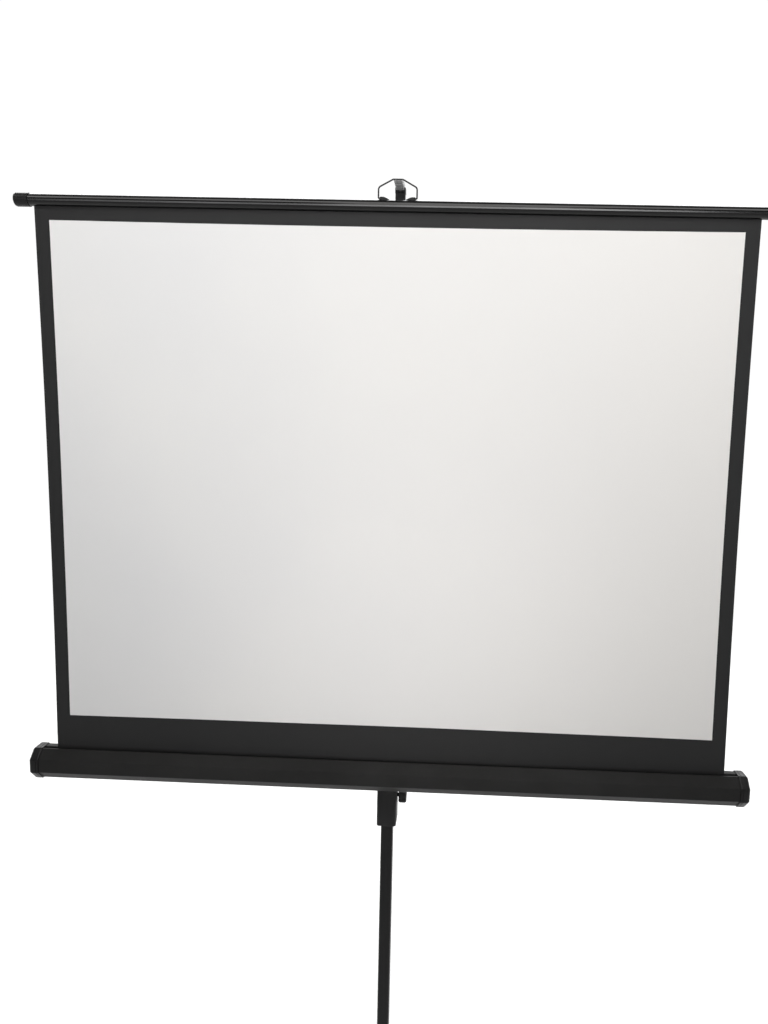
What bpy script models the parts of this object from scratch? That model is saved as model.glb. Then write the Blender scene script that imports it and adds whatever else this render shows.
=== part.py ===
"""Tripod projector screen, pulled up: roller case on a column with three folding legs.

Metres, +Z up, the screen faces -Y, and the origin is on the floor under the middle of the whole stand.
"""

from math import asin, atan2, copysign, cos, pi, radians, sin, sqrt, tan

import bmesh
import bpy
from mathutils import Matrix, Vector

# Clearances
FIT_GAP = 0.0003
RUN_GAP = 0.0005
OVERRUN = 0.002

# Sheet
VIEW_WIDTH = 1.270
VIEW_HEIGHT = 0.9525
SIDE_BORDER = 0.027
TOP_BORDER = 0.029
BLACK_DROP = 0.0625
FABRIC_THICKNESS = 0.0004
EDGE_WAIST = 0.003
EDGE_CURL = 0.0025
EDGE_CURL_POWER = 8
HEM_BEAD_DIAMETER = 0.0050
HEM_FOLD_SHARE = 0.25
HEM_TURNS = (radians(-60.0), radians(-25.0), radians(15.0), radians(55.0))
SHEET_COLUMNS = 18
SHEET_ROWS = 14

# Top slat and its bail
SLAT_OVERHANG = 0.0430
SLAT_DIAMETER = 0.022
SLAT_WALL = 0.0012
SLAT_SLOT = 0.0024
SLAT_CAP_DIAMETER = 0.0247
SLAT_CAP_LENGTH = 0.027
SLAT_CAP_FACE = 0.004
SLAT_CAP_ROUND = 0.0035
SLAT_STEPS = 26
ROUND_SHOULDER_SHARE = 0.3
EAR_INNER_X = 0.0170
EAR_LENGTH = 0.0140
EAR_WIDTH = 0.0110
EAR_RISE = 0.0052
EAR_AXIS_RISE = 0.0026
EAR_SINK = 0.0030
EAR_SHOULDER_SHARE = 0.8
EAR_CROWN_SHARE = 0.5
EAR_SEAT_STEPS = 6
BAIL_WIRE = 0.0027
BAIL_HALF_WIDTH = 0.0350
BAIL_SHOULDER_RISE = 0.0195
BAIL_TOP_RISE = 0.0337
BAIL_TOP_HALF = 0.0090
BAIL_BEND = 0.0040
BAIL_LEAN = radians(1.5)

# Roller case
CASE_OVERHANG = 0.0020
CASE_FLATS = 0.060
CASE_WALL = 0.0012
CASE_BEND = 0.0020
SLOT_WIDTH = 0.0080
SLOT_LIP = 0.0050
SLOT_FORWARD = 0.0045
CAP_FLATS = 0.0635
CAP_LENGTH = 0.0190
CAP_ROUND = 0.0040
CAP_SPIGOT = 0.0120
CAP_SPIGOT_WALL = 0.0030
CAP_FACE = 0.0040
CAP_SCREW_HEAD = 0.0085
CAP_SCREW_RISE = 0.0012
CAP_SCREW_SHAFT = 0.0040
CAP_SCREW_LENGTH = 0.0110
CAP_SCREW_SPACING = 0.0360

# Roller
ROLLER_DIAMETER = 0.0250
ROLLER_WALL = 0.0010
SAFETY_TURNS = 2.5
ROLLER_END_GAP = 0.0060
PLUG_LENGTH = 0.0300
PLUG_FLANGE = 0.0025
SHAFT_DIAMETER = 0.0080
SHAFT_LENGTH = 0.3000
PIN_DIAMETER = 0.0060
PIN_LENGTH = 0.0400
SPRING_DIAMETER = 0.0175
SPRING_WIRE = 0.0014
SPRING_CURLS = 10
SPRING_LENGTH = 0.0900

# Column and extension pole
COLUMN_SIZE = 0.0250
COLUMN_WALL = 0.0015
COLUMN_CORNER = 0.0035
COLUMN_BOTTOM_Z = 0.0450
FOOT_PLUG_DEPTH = 0.0120
FOOT_PLUG_LIP = 0.0040
FOOT_PLUG_PROUD = 0.0010
POLE_SIZE = 0.0190
POLE_WALL = 0.0012
POLE_CORNER = 0.0025
POLE_ENGAGED = 0.0850
POLE_SOFT_STOP = 0.0030
BUSH_LENGTH = 0.0300
CASE_RISE = 0.0600

# Top collar and latch
COLLAR_SIZE = 0.0340
COLLAR_CORNER = 0.0050
COLLAR_HEIGHT = 0.0400
COLLAR_GUIDE = 0.0080
LATCH_BOSS_WIDTH = 0.0200
LATCH_BOSS_HEIGHT = 0.0240
LATCH_BOSS_DEPTH = 0.0100
LATCH_WIDTH = 0.0110
LATCH_HEIGHT = 0.0140
LATCH_PROUD = 0.0045
LATCH_TRAVEL = 0.0030
LATCH_FLOOR = 0.0015
LATCH_SPRING_DIAMETER = 0.0060
LATCH_SPRING_WIRE = 0.0006
LATCH_SPRING_CURLS = 3

# Carrier, saddle and handle
CARRIER_WIDTH = 0.0400
CARRIER_BACK = 0.0085
CARRIER_CORNER = 0.0050
CARRIER_TOP_DROP = 0.0200
CARRIER_HEIGHT = 0.1100
NECK_THICKNESS = 0.0129
NECK_RADIUS = 0.0210
NECK_OVERLAP = 0.0300
COLLAR_CLEARANCE = 0.0008
SADDLE_LENGTH = 0.1200
SADDLE_THICKNESS = 0.0025
SADDLE_WING = 0.0160
RIVET_SHAFT = 0.0040
RIVET_HEAD = 0.0085
RIVET_RISE = 0.0016
SADDLE_RIVET_SPACING = 0.0900
PIVOT_BOLT_SHAFT = 0.0080
PIVOT_BOLT_HEAD = 0.0150
PIVOT_HEAD_DEPTH = 0.0050
KNOB_DIAMETER = 0.0340
KNOB_LENGTH = 0.0160
KNOB_LOBES = 6
KNOB_LOBE_SHARE = 0.07
KNOB_PROFILE_SHARES = ((0.0, 0.86), (0.12, 1.0), (0.8, 1.0), (0.95, 0.92), (1.0, 0.78))
KNOB_STUD = 0.0080
KNOB_STANDOFF = 0.0030
CLAMP_DROP = 0.0550
HANDLE_HEIGHT = 0.1000
HANDLE_REACH = 0.0420
HANDLE_WIDTH = 0.0180
HANDLE_GRIP = 0.0130
HANDLE_FOOT = 0.0150
HANDLE_ROUND = 0.0040
HANDLE_SHOULDER_SHARE = 0.7
HANDLE_SLOPE_SHARE = 0.72
HANDLE_INNER_SHOULDER_SHARE = 0.75
HANDLE_INNER_SLOPE_SHARE = 0.78
HANDLE_SOFT_SHARE = 0.8
HANDLE_SCREW_SEAT_SHARE = 0.35
HANDLE_SCREW = 0.0045
HANDLE_SCREW_HEAD = 0.0080
HANDLE_SCREW_DEPTH = 0.0060

# Hook arm
ARM_WIDTH = 0.0150
ARM_SEAT_AHEAD = 0.0022
ARM_SEAT_BEHIND = 0.0003
ARM_STEPS = 6
ARM_STEP_RUN = 0.0105
ARM_STEP_RISE = 0.0022
ARM_FRONT_DEPTH = 0.0065
ARM_REAR_DEPTH = 0.0085
ARM_RIB_GAP = 0.0036
ARM_RIB_PITCH = 0.0062
ARM_RIB_DEPTH = 0.0022
ARM_RIM = 0.0022
ARM_TAIL = 0.0110
ARM_STEP_LEAN_SHARE = 0.25
ARM_TAIL_ROUND_SHARE = 0.25
ARM_NOSE_SHARE = 0.5
ARM_CHIN_SHARE = 0.85
PLUG_CAP_WIDTH = 0.0200
PLUG_CAP_HEIGHT = 0.0090
PLUG_SPIGOT = 0.0250
HOOK_SCREW_HEAD = 0.0060
HOOK_SCREW_RISE = 0.0010
HOOK_SCREW_SHAFT = 0.0030
HOOK_SCREW_LENGTH = 0.0080

# Legs
LEG_LENGTH = 0.6200
LEG_DIAMETER = 0.0180
LEG_WALL = 0.0012
LEG_SPREAD = radians(55.0)
LEG_FOLDED = radians(4.0)
LEG_PIVOT_RADIUS = 0.0320
TANG_THICKNESS = 0.0050
TANG_WIDTH = 0.0170
TANG_LENGTH = 0.0200
TANG_TAPER = 0.0250
TANG_ROUND_STEPS = 4
TANG_START_TURN = radians(12.0)
TANG_TAPER_STEPS = 4
OVAL_FLAT_SHARE = 0.35
BRACE_LENGTH = 0.1500
BRACE_WIDTH = 0.0120
BRACE_THICKNESS = 0.0020
WEB_START_SHARE = 0.27
WEB_END_SHARE = 0.77
PIVOT_RIVET = 0.0056
PIVOT_RIVET_HEAD = 0.0100
PIVOT_RIVET_RISE = 0.0016
EAR_THICKNESS = 0.0050
FORK_EAR_RADIUS = 0.0090
HUB_SIZE = 0.0360
HUB_CORNER = 0.0070
HUB_HEIGHT = 0.0520
HUB_SCREW = 0.0050
HUB_SCREW_HEAD = 0.0095
SLIDER_SIZE = 0.0340
SLIDER_CORNER = 0.0060
SLIDER_ABOVE = 0.0220
SLIDER_BELOW = 0.0130
LUG_RADIUS = 0.0080
SLIDER_KNOB_DIAMETER = 0.0240
SLIDER_KNOB_LENGTH = 0.0120
FOOT_DIAMETER = 0.0260
FOOT_LENGTH = 0.0420
FOOT_WALL = 0.0035
FOOT_CUT = 0.0030
FOOT_BANDS = 2
FOOT_BAND_RISE = 0.0010
FOOT_BAND_WIDTH = 0.0030
FOOT_STEPS = 5

LEG_HEADINGS = (radians(-90.0), radians(30.0), radians(150.0))

# Levels and setbacks that follow from the sizes above
OCTAGON_SHARE = tan(pi / 8)
CASE_HALF = CASE_FLATS / 2
FABRIC_WIDTH = VIEW_WIDTH + 2 * SIDE_BORDER
SLAT_LENGTH = FABRIC_WIDTH + 2 * SLAT_OVERHANG
CASE_LENGTH = SLAT_LENGTH + 2 * CASE_OVERHANG
ROLL_RADIUS = ROLLER_DIAMETER / 2 + FIT_GAP + SAFETY_TURNS * FABRIC_THICKNESS
SLAT_RADIUS = SLAT_DIAMETER / 2
SLAT_ABOVE_CASE = BLACK_DROP + VIEW_HEIGHT + TOP_BORDER + SLAT_RADIUS
PARKED_ABOVE_CASE = CAP_FLATS / 2 - CASE_HALF + SLAT_CAP_DIAMETER / 2 + RUN_GAP
PULL_TRAVEL = SLAT_ABOVE_CASE - PARKED_ABOVE_CASE
POLE_BOTTOM_Z = COLUMN_BOTTOM_Z + FOOT_PLUG_DEPTH + POLE_SOFT_STOP + PULL_TRAVEL
COLUMN_TOP_Z = POLE_BOTTOM_Z + POLE_ENGAGED + CASE_RISE
NECK_BACK = COLLAR_SIZE / 2 + COLLAR_CLEARANCE
NECK_FRONT = NECK_BACK + NECK_THICKNESS
SADDLE_BACK = NECK_FRONT + FIT_GAP
CASE_SETBACK = SADDLE_BACK + SADDLE_THICKNESS + FIT_GAP + CASE_HALF
SHEET_SETBACK = CASE_SETBACK + SLOT_FORWARD

# Hook arm heights above the slat's axis
BAIL_AXIS_RISE = SLAT_RADIUS + EAR_AXIS_RISE
WIRE_RISE = BAIL_AXIS_RISE + BAIL_TOP_RISE * cos(BAIL_LEAN)
WIRE_BACK = BAIL_TOP_RISE * sin(BAIL_LEAN)
SEAT_RISE = WIRE_RISE - BAIL_WIRE / 2 - FIT_GAP
ARM_TOP_RISE = SEAT_RISE + ARM_STEPS * ARM_STEP_RISE
ARM_UNDER_RISE = ARM_TOP_RISE - ARM_REAR_DEPTH
POLE_TOP_RISE = ARM_UNDER_RISE - FIT_GAP - PLUG_CAP_HEIGHT - FIT_GAP

COLLAR_TOP_Z = COLUMN_TOP_Z + FIT_GAP + COLLAR_GUIDE
CASE_TOP_Z = COLLAR_TOP_Z + COLLAR_CLEARANCE - POLE_TOP_RISE - PARKED_ABOVE_CASE
CASE_Z = CASE_TOP_Z - CASE_HALF
CLAMP_KNOB_Z = CASE_Z - CARRIER_TOP_DROP - CLAMP_DROP
LATCH_Z = COLLAR_TOP_Z - COLLAR_HEIGHT / 2
SLAT_Z = CASE_TOP_Z + SLAT_ABOVE_CASE

# Legs: the hub is fixed, and the slider below it lies two brace heights down
FOOT_RADIUS = FOOT_DIAMETER / 2
HUB_Z = FOOT_RADIUS - FOOT_CUT + LEG_LENGTH * cos(LEG_SPREAD)
SLIDER_Z = HUB_Z - 2 * BRACE_LENGTH * cos(LEG_SPREAD)
SLIDER_KNOB_Z = SLIDER_Z + (SLIDER_ABOVE - SLIDER_BELOW) / 2
LEG_REACH = LEG_PIVOT_RADIUS + LEG_LENGTH * sin(LEG_SPREAD)

# The two rear feet stand half as far behind the column as the front foot stands ahead of it
COLUMN_Y = LEG_REACH * (1 - sin(LEG_HEADINGS[1])) / 2
SHEET_Y = COLUMN_Y - SHEET_SETBACK
CASE_Y = COLUMN_Y - CASE_SETBACK
ROLLER_Y = SHEET_Y + FABRIC_THICKNESS / 2 + FIT_GAP + ROLL_RADIUS


def clear_scene():
    for item in list(bpy.data.objects):
        bpy.data.objects.remove(item, do_unlink=True)


def material(name, colour, roughness, metallic=0.0):
    made = bpy.data.materials.new(name)
    made.use_nodes = True
    shader = made.node_tree.nodes["Principled BSDF"]
    shader.inputs["Base Color"].default_value = (*colour, 1.0)
    shader.inputs["Roughness"].default_value = roughness
    shader.inputs["Metallic"].default_value = metallic
    made.diffuse_color = (*colour, 1.0)
    return made


def pivot(name, location):
    """An empty on a moving body's joint."""
    empty = bpy.data.objects.new(name, None)
    empty.location = location
    bpy.context.collection.objects.link(empty)
    return empty


def node(name, mesh, finish, body=None, smooth=40.0):
    """An object of a bmesh made in world coordinates, with its origin on its body's joint."""
    bmesh.ops.recalc_face_normals(mesh, faces=mesh.faces)
    data = bpy.data.meshes.new(name)
    mesh.to_mesh(data)
    mesh.free()
    if finish is not None:
        data.materials.append(finish)
    item = bpy.data.objects.new(name, data)
    bpy.context.collection.objects.link(item)
    if body is not None:
        data.transform(Matrix.Translation(-Vector(body.location)))
        item.parent = body
    data.shade_smooth()
    data.set_sharp_from_angle(angle=radians(smooth))
    return item


def boolean(target, operation, mesh, name):
    """Cut a hidden shape out of an object, or join it on."""
    cutter = node(name, mesh, None)
    cutter.hide_render = True
    cutter.display_type = "WIRE"
    change = target.modifiers.new(name, "BOOLEAN")
    change.operation = operation
    change.solver = "EXACT"
    change.object = cutter
    return target


def cut(target, mesh, name="cutter"):
    return boolean(target, "DIFFERENCE", mesh, name)


def join(target, mesh, name="joined"):
    return boolean(target, "UNION", mesh, name)


def soften(item, width, segments=2, angle=35.0):
    """Round an object's edges."""
    change = item.modifiers.new("soften", "BEVEL")
    change.width = width
    change.segments = segments
    change.limit_method = "ANGLE"
    change.angle_limit = radians(angle)
    return item


def loft(rings, closed=True):
    """A solid through rings of equal point counts, capped at both ends unless it closes on itself."""
    mesh = bmesh.new()
    rows = [[mesh.verts.new(point) for point in ring] for ring in rings]
    count = len(rows[0])
    pairs = list(zip(rows, rows[1:]))
    if not closed:
        pairs.append((rows[-1], rows[0]))
    for low, high in pairs:
        for i in range(count):
            j = (i + 1) % count
            mesh.faces.new((low[i], low[j], high[j], high[i]))
    if closed:
        mesh.faces.new(rows[0])
        mesh.faces.new(rows[-1])
    return mesh


def frame(origin, along, across):
    """A placing matrix whose Z runs along and whose X runs across."""
    z = Vector(along).normalized()
    x = Vector(across)
    x = (x - z * x.dot(z)).normalized()
    y = z.cross(x)
    return Matrix.Translation(origin) @ Matrix((x, y, z)).transposed().to_4x4()


UP, BACK, RIGHT = Vector((0, 0, 1)), Vector((0, 1, 0)), Vector((1, 0, 0))


def placed(mesh, matrix):
    bmesh.ops.transform(mesh, matrix=matrix, verts=mesh.verts)
    return mesh


def circle(radius, steps=20):
    return [(radius * cos(a), radius * sin(a)) for a in ring_angles(steps)]


def rounded(width, height, radius, steps=2):
    """A rounded rectangle's outline, anticlockwise."""
    points = []
    for quarter in range(4):
        sx = 1 if quarter in (0, 3) else -1
        sy = 1 if quarter in (0, 1) else -1
        for i in range(steps + 1):
            turn = (quarter + i / steps) * pi / 2
            points.append(
                (sx * (width / 2 - radius) + radius * cos(turn), sy * (height / 2 - radius) + radius * sin(turn))
            )
    return points


def prism(outline, length, start=0.0):
    """An outline in X and Y drawn out along Z."""
    return loft([[(x, y, z) for x, y in outline] for z in (start, start + length)])


def pipe(outer, inner, length, start=0.0):
    """A hollow section between two outlines of equal point counts."""
    end = start + length
    rings = [(outer, start), (outer, end), (inner, end), (inner, start)]
    return loft([[(x, y, z) for x, y in ring] for ring, z in rings], closed=False)


def turned(profile, steps=20):
    """A profile of (radius, height) turned about Z. Points on the axis close it, and otherwise it is a ring."""
    mesh = bmesh.new()
    rows = []
    for radius, height in profile:
        if radius == 0:
            rows.append([mesh.verts.new((0, 0, height))] * steps)
        else:
            rows.append([mesh.verts.new((x, y, height)) for x, y in circle(radius, steps)])
    for low, high in zip(rows, rows[1:] + rows[:1]):
        for i in range(steps):
            j = (i + 1) % steps
            corners = list(dict.fromkeys((low[i], low[j], high[j], high[i])))
            if len(corners) > 2:
                mesh.faces.new(corners)
    return mesh


def rod(radius, length, start=0.0, steps=14):
    return prism(circle(radius, steps), length, start)


def rivet(shaft, head, rise, length, steps=12):
    """A shaft from 0 to length with a low domed head beyond length."""
    dome = [(head / 2, length), (head / 2, length + rise / 2), (head / 3, length + rise), (0, length + rise)]
    return turned([(0, 0), (shaft / 2, 0), (shaft / 2, length)] + dome, steps)


def two_headed(shaft, head, rise, length, steps=12):
    """A rivet whose shaft spans length about 0, with a domed head at each end."""
    half = length / 2
    dome = [(head / 2, half), (head / 2, half + rise / 2), (head / 3, half + rise), (0, half + rise)]
    low = [(r, -z) for r, z in reversed(dome)]
    return turned(low + [(shaft / 2, -half), (shaft / 2, half)] + dome, steps)


def merged(meshes):
    """Separate solids in one mesh, such as a set of equal rivets."""
    whole = bmesh.new()
    for mesh in meshes:
        data = bpy.data.meshes.new("piece")
        mesh.to_mesh(data)
        mesh.free()
        whole.from_mesh(data)
        bpy.data.meshes.remove(data)
    return whole


def octagon(flats):
    """An octagon's corners with flat sides on top, bottom, front and back, from the top front corner round the front."""
    half, side = flats / 2, flats / 2 * OCTAGON_SHARE
    return [
        (-side, half),
        (-half, side),
        (-half, -side),
        (-side, -half),
        (side, -half),
        (half, -side),
        (half, side),
        (side, half),
    ]


def fillet(points, radius, closed=False, steps=2):
    """Round a path's corners with arcs."""
    made = []
    last = len(points) - 1
    for i, point in enumerate(points):
        if not closed and i in (0, last):
            made.append(point)
            continue
        here = Vector(point)
        before = (Vector(points[i - 1]) - here).normalized()
        after = (Vector(points[(i + 1) % len(points)]) - here).normalized()
        half = before.angle(after) / 2
        start = here + before * radius / tan(half)
        end = here + after * radius / tan(half)
        for k in range(steps + 1):
            share = k / steps
            # a quadratic curve follows the arc closely at these small bends
            made.append(tuple((1 - share) ** 2 * start + 2 * share * (1 - share) * here + share**2 * end))
    return made


def offset(points, distance):
    """An open path moved sideways, to its left as it runs, with mitred corners."""
    made = []
    for i, point in enumerate(points):
        here = Vector(point)
        runs = []
        if i > 0:
            runs.append((here - Vector(points[i - 1])).normalized())
        if i < len(points) - 1:
            runs.append((Vector(points[i + 1]) - here).normalized())
        sides = [Vector((-run.y, run.x)) for run in runs]
        side = sum(sides, Vector((0, 0))).normalized()
        made.append(tuple(here + side * distance / side.dot(sides[0])))
    return made


def along_x(mesh, y, z, start):
    """Turn a mesh drawn as outline (y, z) and length into place along +X."""
    turn = Matrix(((0, 0, 1, start), (1, 0, 0, y), (0, 1, 0, z), (0, 0, 0, 1)))
    return placed(mesh, turn)


def knob(diameter, length, stud, stud_length):
    """A lobed knob from 0 to length along Z, with its stud below it."""
    steps = KNOB_LOBES * 5
    shape = []
    for i in range(steps):
        turn = 2 * pi * i / steps
        radius = diameter / 2 * (1 - KNOB_LOBE_SHARE + KNOB_LOBE_SHARE * cos(KNOB_LOBES * turn))
        shape.append((radius * cos(turn), radius * sin(turn)))
    rings = []
    for height_share, width_share in KNOB_PROFILE_SHARES:
        rings.append([(x * width_share, y * width_share, length * height_share) for x, y in shape])
    return loft(rings), rod(stud / 2, stud_length + OVERRUN, -stud_length)


def helix(radius, wire, curls, length, steps=8, sides=6):
    """One unbroken tube round Z from 0 to length, with its least gap between curls."""
    rings = []
    total = curls * steps
    for i in range(total + 1):
        turn = 2 * pi * i / steps
        out = Vector((cos(turn), sin(turn), 0))
        centre = out * radius + UP * (wire / 2 + (length - wire) * i / total)
        rings.append([centre + out * wire / 2 * cos(a) + UP * wire / 2 * sin(a) for a in ring_angles(sides)])
    return loft(rings), (length - wire) / curls - wire


def ring_angles(sides):
    return [2 * pi * k / sides for k in range(sides)]


def make_sheet(finish):
    """The fabric: waisted sides, edges that curl back a little, and a bead along its top."""
    across, up = SHEET_COLUMNS, SHEET_ROWS
    low = CASE_Z
    bead = HEM_BEAD_DIAMETER / 2
    inner = SLAT_RADIUS - SLAT_WALL
    bead_z = SLAT_Z - inner + bead + RUN_GAP
    top = bead_z + bead
    levels = [(low + (bead_z - bead - low) * i / up, FABRIC_THICKNESS / 2) for i in range(up + 1)]
    levels += [(bead_z + bead * sin(a), bead * cos(a)) for a in HEM_TURNS]
    levels.append((top, bead * HEM_FOLD_SHARE))
    mesh = bmesh.new()
    sides = []
    for face in (-1, 1):
        rows = []
        for z, half in levels:
            rise_share = min(max((z - low) / (bead_z - bead - low), 0), 1)
            bow = sin(pi * rise_share)
            width = FABRIC_WIDTH / 2 - EDGE_WAIST * bow
            row = []
            for i in range(across + 1):
                share = 2 * i / across - 1
                curl = EDGE_CURL * bow * abs(share) ** EDGE_CURL_POWER
                row.append(mesh.verts.new((width * share, SHEET_Y + curl + face * half, z)))
            rows.append(row)
        sides.append(rows)
    front, rear = sides
    for rows in sides:
        for a, b in zip(rows, rows[1:]):
            for i in range(across):
                mesh.faces.new((a[i], a[i + 1], b[i + 1], b[i]))
    for k in (0, -1):
        for i in range(across):
            mesh.faces.new((front[k][i], front[k][i + 1], rear[k][i + 1], rear[k][i]))
    for i in (0, -1):
        for k in range(len(levels) - 1):
            mesh.faces.new((front[k][i], front[k + 1][i], rear[k + 1][i], rear[k][i]))
    return node("screen_fabric", mesh, finish)


def make_slat(black, plastic, body):
    """The slotted tube that holds the fabric's bead, with a cup on each end."""
    half_slot = asin(SLAT_SLOT / 2 / SLAT_RADIUS)
    turns = [-pi / 2 + half_slot + (2 * pi - 2 * half_slot) * i / SLAT_STEPS for i in range(SLAT_STEPS + 1)]
    inner = SLAT_RADIUS - SLAT_WALL
    outline = [(SLAT_RADIUS * cos(a), SLAT_RADIUS * sin(a)) for a in turns]
    outline += [(inner * cos(a), inner * sin(a)) for a in reversed(turns)]
    length = SLAT_LENGTH - 2 * SLAT_CAP_FACE - 2 * FIT_GAP
    slat = node("slat_tube", along_x(prism(outline, length, -length / 2), SHEET_Y, SLAT_Z, 0), black, body)
    for side in (-1, 1):
        x = side * (EAR_INNER_X + EAR_LENGTH / 2)
        hole = placed(rod(RIVET_SHAFT / 2, SLAT_DIAMETER), Matrix.Translation((x, SHEET_Y, SLAT_Z)))
        cut(slat, hole, "ear_spigot_hole")
    bore = SLAT_RADIUS + FIT_GAP
    outer = SLAT_CAP_DIAMETER / 2
    end = SLAT_LENGTH / 2
    profile = [
        (bore, end - SLAT_CAP_LENGTH),
        (outer - FIT_GAP, end - SLAT_CAP_LENGTH),
        (outer, end - SLAT_CAP_LENGTH + RUN_GAP),
        (outer, end - SLAT_CAP_ROUND),
        (outer - SLAT_CAP_ROUND * ROUND_SHOULDER_SHARE, end - SLAT_CAP_ROUND * ROUND_SHOULDER_SHARE),
        (outer - SLAT_CAP_ROUND, end),
        (0, end),
        (0, end - SLAT_CAP_FACE),
        (bore, end - SLAT_CAP_FACE),
    ]
    for name, side in (("slat_cap_left", -1), ("slat_cap_right", 1)):
        place = frame((0, SHEET_Y, SLAT_Z), RIGHT * side, UP)
        node(name, placed(turned(profile, 28), place), plastic, body)


def make_bail(steel, black, slat, bail):
    """Two ears on the slat, and the wire loop that turns in them."""
    axis_z = SLAT_Z + BAIL_AXIS_RISE
    half = EAR_WIDTH / 2
    top = SLAT_RADIUS + EAR_RISE
    seat = []
    spread = asin(half / (SLAT_RADIUS + FIT_GAP))
    for i in range(EAR_SEAT_STEPS + 1):
        a = pi / 2 + spread - 2 * spread * i / EAR_SEAT_STEPS
        seat.append(((SLAT_RADIUS + FIT_GAP) * cos(a), (SLAT_RADIUS + FIT_GAP) * sin(a)))
    shoulder, shoulder_z = half * EAR_SHOULDER_SHARE, top - EAR_RISE * ROUND_SHOULDER_SHARE
    crown_half = half * EAR_CROWN_SHARE
    crown = [(shoulder, shoulder_z), (crown_half, top), (-crown_half, top), (-shoulder, shoulder_z)]
    for name, side in (("bail_ear_left", -1), ("bail_ear_right", 1)):
        low = EAR_INNER_X if side > 0 else -EAR_INNER_X - EAR_LENGTH
        ear = node(name, along_x(prism(seat + crown, EAR_LENGTH), SHEET_Y, SLAT_Z, low), black, slat)
        middle = low + EAR_LENGTH / 2
        spigot = rod(RIVET_SHAFT / 2 - FIT_GAP, EAR_SINK + EAR_RISE / 3, SLAT_RADIUS - EAR_SINK, 12)
        join(ear, placed(spigot, Matrix.Translation((middle, SHEET_Y, SLAT_Z))), "ear_spigot")
        hole = rod(BAIL_WIRE / 2 + FIT_GAP, EAR_LENGTH + 2 * OVERRUN, low - OVERRUN, 12)
        cut(ear, along_x(hole, SHEET_Y, axis_z, 0), "ear_hole")
    inner_end = EAR_INNER_X + EAR_LENGTH / 3
    corners = [
        (-inner_end, 0),
        (-BAIL_HALF_WIDTH, 0),
        (-BAIL_HALF_WIDTH, BAIL_SHOULDER_RISE),
        (-BAIL_TOP_HALF, BAIL_TOP_RISE),
        (BAIL_TOP_HALF, BAIL_TOP_RISE),
        (BAIL_HALF_WIDTH, BAIL_SHOULDER_RISE),
        (BAIL_HALF_WIDTH, 0),
        (inner_end, 0),
    ]
    path = [Vector((x, 0, z)) for x, z in fillet(corners, BAIL_BEND / 2, steps=3)]
    rings = []
    for i, point in enumerate(path):
        ahead = path[min(i + 1, len(path) - 1)] - path[max(i - 1, 0)]
        run = ahead.normalized()
        side = run.cross(BACK).normalized()
        rings.append([point + (side * cos(a) + BACK * sin(a)) * BAIL_WIRE / 2 for a in ring_angles(10)])
    place = Matrix.Translation((0, SHEET_Y, axis_z)) @ Matrix.Rotation(-BAIL_LEAN, 4, "X")
    node("bail_wire", placed(loft(rings), place), steel, bail)


def case_path():
    """The centre line of the case's sheet metal, from the front lip of its slot round to the rear lip."""
    flats = CASE_FLATS - CASE_WALL
    half = flats / 2
    lip = half - SLOT_LIP
    front, rear = -SLOT_FORWARD - SLOT_WIDTH / 2, -SLOT_FORWARD + SLOT_WIDTH / 2
    corners = [(front, lip), (front, half), *octagon(flats), (rear, half), (rear, lip)]
    return fillet(corners, CASE_BEND)


def case_end(side):
    """A placing matrix whose Z runs along the case towards one end, with X to the back and Y up."""
    return Matrix(((0, 0, side, 0), (1, 0, 0, CASE_Y), (0, 1, 0, CASE_Z), (0, 0, 0, 1)))


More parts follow.
